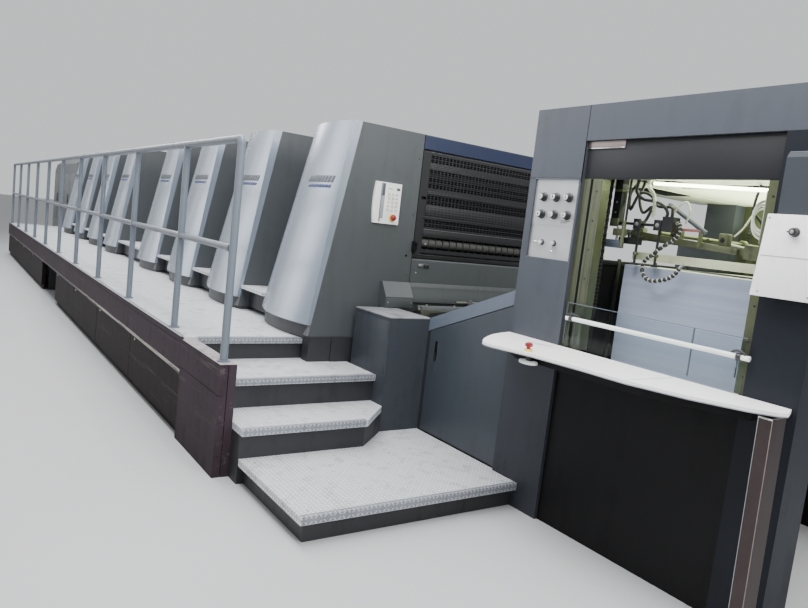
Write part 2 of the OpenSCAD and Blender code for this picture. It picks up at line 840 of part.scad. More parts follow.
// The blower gear hangs beside the pile: a square bar, a cross rod, two rods and a hose manifold.
module side_blower() {
    r = rod_d / 2;
    clamp = 17;
    color("#2b2d2f") {
        box([blower_x, blower_y - 22, blower_z - 14], [blower_x + 46, blower_y + 22, canopy_foot]);
        rod_x(blower_x + 46, manifold[0], blower_y, blower_z, r);
        rod_z(blower_x + 75, blower_y, blower_z - 120, canopy_foot, r * 0.8);
        for (x = [blower_x + 160, blower_x + 275]) {
            rod_z(x, blower_y, pile_top + 12, blower_z + 22, r * 0.9);
            translate([x, blower_y, blower_z]) cube([2 * clamp, 2 * clamp, 2 * clamp], center = true);
            rod_z(x, blower_y, pile_top + 2, pile_top + 14, clamp);
        }
        box([blower_x + 60, blower_y - clamp, blower_z - 100],
            [blower_x + 175, blower_y + clamp, blower_z - 68]);
        box([manifold[0], blower_y - 26, blower_z - 28],
            [manifold[0] + 58, blower_y + 26, blower_z + 42]);
    }
}

// Catmull-Rom curve through a list of points, closed off by repeating its end points.
function curve_point(p, t) =
    let (i = min(floor(t), len(p) - 2), u = t - i, a = p[max(i - 1, 0)], b = p[i], c = p[i + 1],
        d = p[min(i + 2, len(p) - 1)])
    0.5 * (2 * b + (c - a) * u + (2 * a - 5 * b + 4 * c - d) * u * u + (3 * b - 3 * c + d - a) * u * u * u);
function unit(v) = v / norm(v);
// A ring of points round a place, square to the direction of the curve.
function ring(at, dir, r, sides) =
    let (side = unit(cross(dir, [0.3, 1, 0.2])), up = cross(side, dir))
    [for (k = [0:sides - 1]) at + r * (cos(360 * k / sides) * side + sin(360 * k / sides) * up)];

// Sweeps a round section along a curve, with a radius given for every ring.
module swept(route, radii, sides) {
    last = len(radii) - 1;
    span = len(route) - 1;
    places = [for (i = [0:last]) curve_point(route, span * i / last)];
    ways = [for (i = [0:last]) i == 0 ? route[1] - route[0]
        : i == last ? route[span] - route[span - 1] : places[i + 1] - places[i - 1]];
    rings = [for (i = [0:last]) ring(places[i], unit(ways[i]), radii[i], sides)];
    walls = [for (i = [0:last - 1], k = [0:sides - 1])
        let (m = (k + 1) % sides, a = i * sides, b = (i + 1) * sides) [a + k, b + k, b + m, a + m]];
    ends = [[for (k = [0:sides - 1]) k], [for (k = [sides - 1:-1:0]) last * sides + k]];
    polyhedron(points = [for (r = rings, q = r) q], faces = concat(walls, ends), convexity = 8);
}

// The segmented hose curls down from the manifold, and each joint swells and narrows again.
hose_drop = [[58.3, 0, 6], [66, 0, 6], [74, 0, 6], [88, -6, -22], [78, -11, -55], [54, -13, -80],
    [12, -15, -108], [-28, -18, -146], [-58, -21, -172], [-70, -28, -206], [-48, -34, -252], [-4, -38, -268], [40, -36, -262],
    [78, -30, -248], [104, -24, -226], [122, -18, -196]];
joint_form = [0.62, 1, 0.96, 0.74];

module blower_hose() {
    color("#1d1e20") swept([for (p = hose_drop) manifold + p],
        [for (j = [0:joint_count - 1], f = joint_form) f * joint_d / 2], 12);
}

// Air hoses from the lining over to the manifold, one outside the other.
hose_routes = [
    [[100, 20, 0], [100, 20, -8], [100, 20, -16], [62, 24, -70], [74, 24, -145], [120, 20, -65], [190, 14, -75],
        [240, 8, -123], [318, 0, -127], [330, 0, -150], [330, 0, -172.4]],
    [[120, 44, 0], [120, 44, -8], [120, 44, -16], [100, 48, -85], [130, 50, -155], [180, 46, -125], [165, 36, -190],
        [135, 22, -230], [110, 0, -262], [110, 0, -282.4]],
    [[150, -40, 0], [150, -40, -8], [150, -40, -16], [150, -44, -65], [188, -40, -97], [236, -34, -105], [284, -24, -118],
        [312, -14, -150], [312, -14, -172.4]]
];

module air_hoses() {
    rings = 45;
    color("#1d1e20") for (route = hose_routes)
        swept([for (p = route) [blower_x, blower_y, canopy_foot - fit] + p],
            [for (i = [0:rings]) hose_d / 2], 8);
}

module hoist_chains() {
    color("#2b2d2f") each_side() for (x = [jamb_x + 70, post_x - 90])
        box([x, -chain_y - chain_w / 2, 0], [x + chain_w, -chain_y + chain_w / 2, canopy_foot]);
}

// A clear sheet with a runner at each edge that goes through the slot between the guide rails.
module slide_guard() {
    slot_x = jamb_x + guide_w;
    play = 0.5;
    color("#dfe8ee") {
        box([jamb_x + 20, glass_face, table_h + 8], [post_x - 20, glass_face + glass_t, table_h + 8 + glass_h]);
        box([slot_x + play, glass_face + glass_t, table_h + 60],
            [slot_x + guide_slot - play, guide_back - clear, table_h + 150]);
        box([post_x - guide_w - guide_slot + play, glass_face + glass_t, table_h + 60],
            [post_x - guide_w - play, guide_back - clear, table_h + 150]);
    }
}

// The white handle bar with a curved bracket at each end.
module guard_bar() {
    r = 14;
    y = glass_face - 30;
    color("white") {
        rod_x(jamb_x + 52, post_x + 14, y, bar_z, r);
        for (x = [jamb_x + 80, post_x - 60]) rod_y(x, y, glass_face - fit, bar_z, 9);
    }
}

module knob_panel() {
    plate = 4;
    y = -feeder_half + recess_d;
    split = recess_foot + 172;
    color("#c0c3c6") {
        box([recess_x + fit, y - plate, recess_foot + fit], [recess_x + recess_w - fit, y, split]);
        box([recess_x + fit, y - plate - 2, split],
            [recess_x + recess_w - fit, y, recess_foot + recess_h - fit]);
    }
}

knob_y = -feeder_half + recess_d - 6;
function knob_place(i) = [recess_x + 66 + (i % 3) * 87, knob_y, recess_foot + 314 - floor(i / 3) * 88];

// A turned knob with a skirt, a waist and a pointer fin.
module air_knob(i) {
    color("#222222") translate(knob_place(i)) rotate([90, 0, 0]) translate([0, 0, fit]) {
        rotate_extrude() polygon([[0, 0], [24, 0], [24, 3], [19, 7], [17, 26], [14, 29], [0, 29]]);
        translate([-2, 4, 28]) cube([4, 10, 3]);
    }
}

lever_y = -feeder_half + recess_d - 4;
function lever_place(i) = [recess_x + 91 + i * 84, lever_y, recess_foot + 82];

// A lever with a hub, a slim arm and a rounded end, the first level and the second hanging.
module air_lever(i) {
    arm = 44;
    reach = 18;
    color("#d0d2d4") translate(lever_place(i)) rotate([0, i * -90, 0]) {
        rotate([90, 0, 0]) translate([0, 0, fit]) cylinder(r = 10, h = reach);
        translate([0, 6 - reach, 0]) rotate([0, -90, 0]) rotate_extrude()
            polygon([[0, 0], [4, 0], [3.4, arm - 8], [6, arm - 4], [6.6, arm], [5, arm + 5], [0, arm + 6.5]]);
    }
}

// Console
// Route of the table's round end, from the column out to its front edge
table_route = [
    [0, -18], [28, -100], [75, -196], [150, -305], [218, -382], [258, -412], [305, -table_d], [370, -408],
    [527, -369]
];
table_steps = 40;
table_bow = [for (i = [0:table_steps])
    [column_x, -feeder_half] + curve_point(table_route, (len(table_route) - 1) * i / table_steps)];

// The table top has a wide round end by the steps, a joint in its front edge, and narrows to the rear.
module console_table() {
    joint = [column_x + 1020, -feeder_half - 337];
    color("white") along_z(table_h - table_t, table_t) polygon(concat(
        table_bow,
        [joint - [224, 6], joint, [table_end - 268, -feeder_half - 275], [table_end - 89, -feeder_half - 189],
            [table_end - 16, -feeder_half - table_end_d], [table_end, -feeder_half - table_end_d + 40],
            [table_end - 34, -feeder_half - fit], [column_x, -feeder_half - fit]]
    ));
}

// The dark beam below the table, set back from its edge.
module console_frame() {
    top = table_h - table_t;
    front = -feeder_half - table_d + 130;
    color("#34373b") along_z(top - 42, 42) polygon([
        [column_x + 130, -feeder_half - fit], [column_x + 130, -feeder_half - 160],
        [table_corner_x, front], [table_corner_x + 700, front + 20],
        [table_end - 110, -feeder_half - table_end_d + 10], [table_end - 110, -feeder_half - fit]
    ]);
}

// The leg is a folded sheet that is raked back from the table to the floor.
module console_leg() {
    top = table_h - table_t;
    x = table_end - leg_w;
    front = -feeder_half - table_end_d - 60;
    rake = 30;
    side_w = 90;
    sheet = 8;
    color("#9a9ca2") {
        along_x(x, leg_w) polygon([
            [front + rake, 0], [front + rake + sheet, 0], [front + sheet, top], [front, top]
        ]);
        along_x(table_end - sheet, sheet) polygon([
            [front + rake, 0], [front + rake + side_w, 0], [front + side_w, top], [front, top]
        ]);
    }
}

// Control box on the rear post with a sloped top edge.
module control_box() {
    depth = 45;
    color("#50545c") along_x(post_x + 38, post_w - 38) polygon([
        [-feeder_half - depth, 1310], [-feeder_half - fit, 1310], [-feeder_half - fit, 1835],
        [-feeder_half - depth + 14, 1835], [-feeder_half - depth, 1815]
    ]);
}

// Delivery
// A closed tunnel over the delivered pile, with chamfered shoulders and a sloping rear hood.
module delivery_housing() {
    wall = 200;
    top = unit_top - 10;
    shoulder = 120;
    end = delivery_x - delivery_l;
    inner = delivery_half - wall;
    color("#6a6f74") difference() {
        intersection() {
            along_x(end, delivery_l) polygon([
                [-delivery_half, 0], [delivery_half, 0], [delivery_half, top - shoulder],
                [delivery_half - shoulder, top], [shoulder - delivery_half, top],
                [-delivery_half, top - shoulder]
            ]);
            along_y(-delivery_half, 2 * delivery_half) polygon([
                [end, 0], [delivery_x, 0], [delivery_x, top], [end + 500, top], [end, top - 260]
            ]);
        }
        box([end - 1, -inner, -1], [delivery_x - 40, inner, delivery_bay_h]);
        for (i = [1:3], s = [-1, 1])
            translate([end + i * delivery_l / 4, s * delivery_half, 0])
                cube([6, 12, 2 * (top - shoulder)], center = true);
    }
}

module delivery_board() {
    end = delivery_x - delivery_l;
    reach = delivery_half - 200;
    color("#8b7a60") {
        box([end + 100, -reach, 250], [end + 1000, reach, 310]);
        for (x = [end + 140, end + 900]) box([x, -reach, 200], [x + 60, reach, 250]);
    }
}

base_frame();
unit_housing(1);  // unit_1_housing
rear_housings();
operator_covers();
drive_covers();
cover_plinths();
foot_steps();
blue_bands();
upper_guard();
lower_guard();
rear_guards();
control_panel();
junction_box();
gallery_deck();
gallery_frame();
gallery_fascia();
gallery_strip();
gallery_cupboards();
step_cheek();
treads();
step_risers();
post_box();
railing();
side_skirts();
feed_base();
feed_board();
feed_side_door();
feed_side_panel();
feed_flanges();
front_columns();
rear_posts();
feeder_beams();
canopy();
lamp();
guide_rails();
pile_board();
sheet_pile();
suction_head();
side_blower();
blower_hose();
air_hoses();
hoist_chains();
slide_guard();
guard_bar();
knob_panel();
air_knob(0);  // air_knob_1
air_knob(1);  // air_knob_2
air_knob(2);  // air_knob_3
air_knob(3);  // air_knob_4
air_knob(4);  // air_knob_5
air_knob(5);  // air_knob_6
air_lever(0);  // air_lever_1
air_lever(1);  // air_lever_2
console_table();
console_frame();
console_leg();
control_box();
delivery_housing();
delivery_board();
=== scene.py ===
"""Looks of the offset printing press, built round the packed CAD part.

Each group of pieces is one operator. main() registers the add-on, runs the operators in order
and notes the size of the part. All lengths are metres in the row frame.
"""

import math
import random
from itertools import product

import bmesh
import bpy
from mathutils import Matrix, Vector

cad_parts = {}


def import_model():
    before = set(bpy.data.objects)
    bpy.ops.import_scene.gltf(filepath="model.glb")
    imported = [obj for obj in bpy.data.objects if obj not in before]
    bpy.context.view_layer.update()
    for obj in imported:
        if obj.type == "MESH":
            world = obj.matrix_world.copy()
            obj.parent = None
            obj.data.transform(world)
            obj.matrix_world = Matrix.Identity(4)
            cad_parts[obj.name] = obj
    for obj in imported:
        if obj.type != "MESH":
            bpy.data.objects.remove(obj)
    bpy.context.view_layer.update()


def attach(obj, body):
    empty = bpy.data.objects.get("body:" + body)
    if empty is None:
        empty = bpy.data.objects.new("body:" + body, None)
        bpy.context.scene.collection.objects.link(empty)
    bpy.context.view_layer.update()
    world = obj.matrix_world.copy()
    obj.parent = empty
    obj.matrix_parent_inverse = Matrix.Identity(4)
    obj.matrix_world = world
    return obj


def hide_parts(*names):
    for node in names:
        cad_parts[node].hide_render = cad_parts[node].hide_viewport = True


bl_info = {
    "name": "Offset Printing Press",
    "version": (1, 0, 0),
    "blender": (4, 5, 0),
    "location": "View3D > Sidebar > Press",
    "description": "Builds the visual pieces and materials of a sheet-fed offset printing press",
    "category": "Object",
}

X, Y, Z = Vector((1, 0, 0)), Vector((0, 1, 0)), Vector((0, 0, 1))
SIDES = (-1, 1)

# Places taken from the CAD part
UNIT_FACES = (4.78, 3.52, 2.26, 1.0, -1.0, -2.26, -3.52, -4.78)
UNIT_L = 0.6
GUARD_HALF = 0.606
SLOT_HALF = 0.539
DECK_START, DECK_END, DECK_H = -7.05, 4.69, 0.616
GALLERY_HALF = 2.13
COLUMN_X, JAMB_X, POST_X = 6.02, 6.37, 7.33
FEEDER_END, FEEDER_HALF = 7.54, 0.775
BEAM_FOOT, BEAM_TOP, CANOPY_FOOT = 1.92, 2.09, 1.765
TABLE_H = 0.912
CUPBOARDS, MISSING_CUPBOARD = 9, 4
DELIVERY_X, DELIVERY_END = -6.2, -9.1


def srgb(red, green, blue):
    """Linear colour of an sRGB colour given in 0 to 255."""
    def line(v):
        v /= 255
        return v / 12.92 if v <= 0.04045 else ((v + 0.055) / 1.055) ** 2.4
    return (line(red), line(green), line(blue), 1)


# ---------------------------------------------------------------- shader groups


GROUPS = {}
SOCKETS = {1: "NodeSocketFloat", 3: "NodeSocketVector", 4: "NodeSocketColor"}


class Nodes:
    """A node tree with short calls that add nodes and links."""

    def __init__(self, tree):
        self.tree = tree

    def add(self, kind, inputs=None, **settings):
        node = self.tree.nodes.new(kind)
        for key, value in settings.items():
            setattr(node, key, value)
        for key, value in (inputs or {}).items():
            self.feed(node.inputs[key], value)
        return node

    def feed(self, socket, value):
        if isinstance(value, bpy.types.NodeSocket):
            self.tree.links.new(value, socket)
        else:
            socket.default_value = value

    def place(self):
        """The piece's own coordinates."""
        return self.add("ShaderNodeTexCoord").outputs["Object"]

    def split(self, vector):
        return self.add("ShaderNodeSeparateXYZ", {0: vector}).outputs

    def normal(self):
        return self.split(self.add("ShaderNodeNewGeometry").outputs["Normal"])

    def math(self, operation, *values, clamp=False):
        node = self.add("ShaderNodeMath", dict(enumerate(values)), operation=operation, use_clamp=clamp)
        return node.outputs[0]

    def mix(self, factor, a, b, blend="MIX"):
        node = self.add("ShaderNodeMix", {}, data_type="RGBA", blend_type=blend, clamp_factor=True)
        for socket, value in ((0, factor), (6, a), (7, b)):
            self.feed(node.inputs[socket], value)
        return node.outputs[2]

    def ramp(self, value, low, high, start=0.0, end=1.0):
        node = self.add("ShaderNodeMapRange", dict(enumerate((value, low, high, start, end))),
                        clamp=True, interpolation_type="SMOOTHSTEP")
        return node.outputs[0]

    def noise(self, vector, scale, detail=3.0, rough=0.55):
        node = self.add("ShaderNodeTexNoise", {"Vector": vector, "Scale": scale, "Detail": detail,
                                               "Roughness": rough})
        return node.outputs["Fac"]

    def stretched(self, vector, scale, operation="MULTIPLY"):
        return self.add("ShaderNodeVectorMath", {0: vector, 1: scale}, operation=operation).outputs[0]

    def group(self, name, inputs):
        """Places one of the shared effects."""
        return self.add("ShaderNodeGroup", inputs, node_tree=GROUPS[name]).outputs

    def worn(self, colour, dirt_and_shade, drift, patches, foot=0.0, foot_h=0.5, peel=380.0):
        return self.group("Worn Paint", {
            "Colour": srgb(*colour), "Dirt And Shade Colour": srgb(*dirt_and_shade), "Drift": drift, "Dirt": patches,
            "Foot Dirt And Shade": foot, "Foot Height": foot_h, "Peel Scale": peel})


def new_group(name, inputs, outputs):
    """An empty shader node group. The default of an input tells its kind."""
    tree = GROUPS[name] = bpy.data.node_groups.new(name, "ShaderNodeTree")
    for label, default in inputs.items():
        kind = SOCKETS[len(default) if isinstance(default, tuple) else 1]
        tree.interface.new_socket(label, in_out="INPUT", socket_type=kind).default_value = default
    for label in outputs:
        tree.interface.new_socket(label, in_out="OUTPUT", socket_type=SOCKETS[4 if label == "Colour" else 1])
    n = Nodes(tree)
    return n, n.add("NodeGroupInput").outputs, n.add("NodeGroupOutput").inputs


def build_worn_paint():
    """Paint with slow colour drift, rubbed patches, dust, and a fine orange peel."""
    n, given, out = new_group(
        "Worn Paint",
        {"Colour": (0.1, 0.1, 0.1, 1), "Dirt And Shade Colour": (0.05, 0.05, 0.05, 1), "Drift": 0.12, "Dirt": 0.2,
         "Foot Dirt And Shade": 0.3, "Foot Height": 0.5, "Peel Scale": 380.0}, ("Colour", "Mask", "Height"))
    place = n.place()
    drift = n.noise(place, 1.7, 3.0)
    cloud = n.noise(place, 7.0, 6.0, 0.65)
    streak = n.noise(n.stretched(place, (14.0, 14.0, 1.6)), 1.0, 4.0)
    peel = n.noise(place, given["Peel Scale"], 2.0)
    shade = n.math("MULTIPLY_ADD", n.math("SUBTRACT", drift, 0.5), given["Drift"], 1.0)
    fine = n.math("MULTIPLY_ADD", n.math("SUBTRACT", cloud, 0.5), n.math("MULTIPLY", given["Drift"], 0.6),
                  shade)
    grey = n.add("ShaderNodeCombineColor", {0: fine, 1: fine, 2: fine}).outputs[0]
    toned = n.mix(1.0, given["Colour"], grey, "MULTIPLY")
    foot = n.math("MULTIPLY", n.ramp(n.split(place)[2], given["Foot Height"], 0.0), given["Foot Dirt And Shade"])
    patches = n.math("MULTIPLY", n.ramp(n.math("MULTIPLY", cloud, streak), 0.22, 0.42), given["Dirt"])
    mask = n.math("ADD", foot, patches, clamp=True)
    n.feed(out["Colour"], n.mix(mask, toned, given["Dirt And Shade Colour"]))
    n.feed(out["Mask"], mask)
    n.feed(out["Height"], peel)


def build_brushed():
    """Fine lines drawn along one direction, as on brushed or ground metal."""
    n, given, out = new_group(
        "Brushed", {"Stretch": (2.0, 600.0, 600.0), "Smudge Scale": 9.0}, ("Lines", "Smudge"))
    place = n.place()
    n.feed(out["Lines"], n.noise(n.stretched(place, given["Stretch"]), 1.0, 2.0))
    n.feed(out["Smudge"], n.noise(place, given["Smudge Scale"], 5.0, 0.6))


def build_chequer():
    """Raised lozenges in two directions over the two axes of each face, as on tread plate."""
    n, given, out = new_group("Tread Lozenges", {"Pitch": 0.03}, ("Mask",))
    x, y, z = n.split(n.place())
    normal = n.normal()
    upward = n.ramp(normal[2], 0.6, 0.8)
    sideways = n.math("GREATER_THAN", n.math("ABSOLUTE", normal[1]), 0.6)
    cell, local = [], []
    for share, plain, turned in ((sideways, y, x), (n.math("GREATER_THAN", upward, 0.5), z, x)):
        axis = n.math("ADD", n.math("MULTIPLY", turned, share),
                      n.math("MULTIPLY", plain, n.math("SUBTRACT", 1.0, share)))
        scaled = n.math("DIVIDE", axis, given["Pitch"])
        cell.append(n.math("FLOOR", scaled))
        local.append(n.math("SUBTRACT", n.math("FRACT", scaled), 0.5))
    parity = n.math("FLOORED_MODULO", n.math("ADD", cell[0], cell[1]), 2.0)
    sign = n.math("MULTIPLY_ADD", parity, 2.0, -1.0)
    along = n.math("MULTIPLY", n.math("MULTIPLY_ADD", local[1], sign, local[0]), 0.7071)
    across = n.math("MULTIPLY", n.math("SUBTRACT", local[1], n.math("MULTIPLY", local[0], sign)), 0.7071)
    reach = n.math("ADD", n.math("POWER", n.math("DIVIDE", along, 0.46), 2.0),
                   n.math("POWER", n.math("DIVIDE", across, 0.15), 2.0))
    n.feed(out["Mask"], n.ramp(reach, 1.0, 0.45))


def build_scuffs():
    """Long scratches and rubbed marks, as left by trolleys and shoes."""
    n, given, out = new_group("Scuffs", {"Stretch": (1.2, 20.0, 26.0), "Amount": 0.5}, ("Mask", "Fine"))
    place = n.place()
    long = n.noise(n.stretched(place, given["Stretch"]), 1.0, 6.0, 0.7)
    where = n.noise(place, 2.2, 2.0)
    mask = n.math("MULTIPLY", n.ramp(long, 0.55, 0.72), n.ramp(where, 0.35, 0.7))
    n.feed(out["Mask"], n.math("MULTIPLY", mask, given["Amount"]))
    n.feed(out["Fine"], n.noise(n.stretched(place, (30.0, 30.0, 220.0)), 1.0, 3.0))


def build_grid():
    """A woven grid of small openings, given its pitch across and up."""
    n, given, out = new_group("Fine Grid", {"Pitch": (0.01, 0.01, 0.01)}, ("Mask",))
    parts = n.split(n.stretched(n.place(), given["Pitch"], "DIVIDE"))
    waves = [n.ramp(n.math("ABSOLUTE", n.math("SUBTRACT", n.math("FRACT", part), 0.5)), 0.3, 0.42)
             for part in parts[1:3]]
    n.feed(out["Mask"], n.math("MAXIMUM", *waves))


# ---------------------------------------------------------------- materials


class Surface(Nodes):
    """The nodes of one new material."""

    def __init__(self, name):
        self.material = bpy.data.materials.new(name)
        self.material.use_nodes = True
        super().__init__(self.material.node_tree)

    def done(self, inputs, height=None, distance=0.001, strength=1.0):
        """Feeds the Principled BSDF, with a bump from a height, and gives back the material."""
        shader = self.tree.nodes["Principled BSDF"]
        for key, value in inputs.items():
            self.feed(shader.inputs[key], value)
        if height is not None:
            node = self.add("ShaderNodeBump", {"Height": height, "Distance": distance, "Strength": strength})
            self.feed(shader.inputs["Normal"], node.outputs[0])
        return self.material


def paint(name, colour, dirt_and_shade, rough, drift, patches, foot=0.0, foot_h=0.5, peel=380.0, metal=0.0,
          peel_depth=0.00006, coat=0.0, shine=0.5):
    """A sprayed paint with wear, dust and an orange peel."""
    n = Surface(name)
    worn = n.worn(colour, dirt_and_shade, drift, patches, foot, foot_h, peel)
    return n.done({
        "Base Color": worn["Colour"], "Roughness": n.math("MULTIPLY_ADD", worn["Mask"], 0.3, rough),
        "Metallic": metal, "Coat Weight": coat, "Coat Roughness": 0.25, "Specular IOR Level": shine,
    }, worn["Height"], peel_depth)


def metal(name, colour, rough, stretch, tone, smudge=0.12):
    """Bare metal with fine lines and smudges."""
    n = Surface(name)
    lines = n.group("Brushed", {"Stretch": stretch})
    dark = tuple(v * (1 - tone) for v in srgb(*colour)[:3]) + (1,)
    return n.done({
        "Base Color": n.mix(lines["Smudge"], dark, srgb(*colour)), "Metallic": 1.0,
        "Roughness": n.math("MULTIPLY_ADD", lines["Smudge"], smudge, rough)}, lines["Lines"], 0.00003)


def tread_plate(name, colour, dirt_and_shade, shown):
    """Aluminium tread plate with bright lozenge tops and trodden dirt between them."""
    n = Surface(name)
    lozenge = n.group("Tread Lozenges", {"Pitch": 0.0235})["Mask"]
    worn = n.worn(colour, dirt_and_shade, 0.22, 0.55, peel=240.0)
    height = n.math("MULTIPLY_ADD", lozenge, 1.0, n.math("MULTIPLY", worn["Height"], 0.03))
    return n.done({
        "Base Color": n.mix(n.math("MULTIPLY", lozenge, shown), worn["Colour"], srgb(250, 251, 252)),
        "Metallic": 0.2, "Roughness": n.math("MULTIPLY_ADD", worn["Mask"], 0.2, 0.42)}, height, 0.0022, 0.9)


def fascia_paint(name, colour, dirt_and_shade):
    """Purple-grey paint with trolley scuffs and pale rub lines."""
    n = Surface(name)
    worn = n.worn(colour, dirt_and_shade, 0.3, 0.45, 0.55, 0.45, 300.0)
    scuff = n.group("Scuffs", {"Amount": 0.45})
    return n.done({
        "Base Color": n.mix(scuff["Mask"], worn["Colour"], srgb(112, 100, 104)),
        "Roughness": n.math("MULTIPLY_ADD", scuff["Fine"], 0.2, 0.5), "Specular IOR Level": 0.06,
    }, worn["Height"], 0.0001)


def strip_metal(name):
    """The fascia's foot strip: brown and dull along most of its length, rubbed bare near the steps."""
    n = Surface(name)
    place = n.place()
    rub = n.noise(n.stretched(place, (3.0, 40.0, 90.0)), 1.0, 5.0, 0.7)
    bare = n.math("MULTIPLY", n.ramp(n.split(place)[0], 0.6, 2.2), n.ramp(rub, 0.36, 0.5))
    return n.done({"Base Color": n.mix(bare, srgb(62, 53, 52), srgb(164, 158, 150)),
                   "Roughness": n.ramp(rub, 0.3, 0.7, 0.62, 0.4), "Specular IOR Level": 0.3}, rub, 0.0004)


def grid_metal(name):
    """Perforated steel band: a fine grid of dark holes in dark sheet."""
    n = Surface(name)
    grid = n.group("Fine Grid", {"Pitch": (1.0, 0.0317, 0.018)})["Mask"]
    smudge = n.group("Brushed", {"Smudge Scale": 14.0})["Smudge"]
    sheet = n.mix(smudge, srgb(36, 36, 39), srgb(48, 48, 50))
    return n.done({"Base Color": n.mix(grid, srgb(20, 20, 23), sheet), "Roughness": 0.5, "Metallic": 0.3},
                  grid, 0.001)


def sheets(name):
    """The side of a paper pile: hundreds of thin layers, with a few darker lifts."""
    n = Surface(name)
    place = n.place()
    layers = n.noise(n.stretched(place, (1.2, 1.2, 900.0)), 1.0, 2.0)
    lifts = n.noise(n.stretched(place, (0.3, 0.3, 38.0)), 1.0, 2.0)
    tone = n.mix(n.ramp(lifts, 0.35, 0.65), srgb(146, 154, 174), srgb(154, 162, 180))
    # Upward faces get the white of the paper; the blue-grey of the other faces is painted shade.
    top = n.ramp(n.normal()[2], 0.5, 0.9)
    return n.done({"Base Color": n.mix(top, tone, srgb(236, 237, 236)), "Roughness": 0.75}, layers, 0.0002)


def wood(name):
    """Planks with long grain and darker clouds."""
    n = Surface(name)
    place = n.place()
    grain = n.noise(n.stretched(place, (2.0, 40.0, 60.0)), 1.0, 6.0, 0.7)
    knots = n.math("MULTIPLY", n.noise(place, 5.0, 3.0), 0.4)
    tone = n.mix(n.ramp(grain, 0.3, 0.7), srgb(112, 92, 66), srgb(158, 134, 98))
    return n.done({"Base Color": n.mix(knots, tone, srgb(96, 78, 58)), "Roughness": 0.7}, grain, 0.0006)


def clear_sheet(name):
    """Clear acrylic with faint smears."""
    n = Surface(name)
    smudge = n.group("Brushed", {"Stretch": (3.0, 30.0, 6.0), "Smudge Scale": 6.0})["Smudge"]
    return n.done({"Base Color": srgb(236, 243, 244), "Transmission Weight": 1.0, "IOR": 1.2,
                   "Roughness": n.ramp(smudge, 0.4, 0.8, 0.02, 0.1)})


def lit_tube(name):
    """A lit tube, dimmer in places by a slow noise."""
    n = Surface(name)
    smudge = n.group("Brushed", {"Stretch": (3.0, 3.0, 3.0), "Smudge Scale": 3.0})["Smudge"]
    glow = srgb(248, 255, 206)
    return n.done({"Emission Color": n.mix(smudge, glow, (1, 1, 0.94, 1)), "Emission Strength": 12.0,
                   "Base Color": n.mix(smudge, glow, srgb(250, 250, 240))})


def smeared_white(name):
    """White panel with upright smears of grease and bright wiped streaks."""
    n = Surface(name)
    worn = n.worn((250, 250, 249), (190, 189, 186), 0.08, 0.8)
    smear = n.noise(n.stretched(n.place(), (34.0, 34.0, 7.0)), 1.0, 5.0, 0.65)
    white = n.mix(n.ramp(smear, 0.52, 0.68), worn["Colour"], srgb(246, 246, 244))
    return n.done({"Base Color": white, "Roughness": n.ramp(smear, 0.3, 0.7, 0.2, 0.5)}, smear, 0.0003)


LOOK = {}
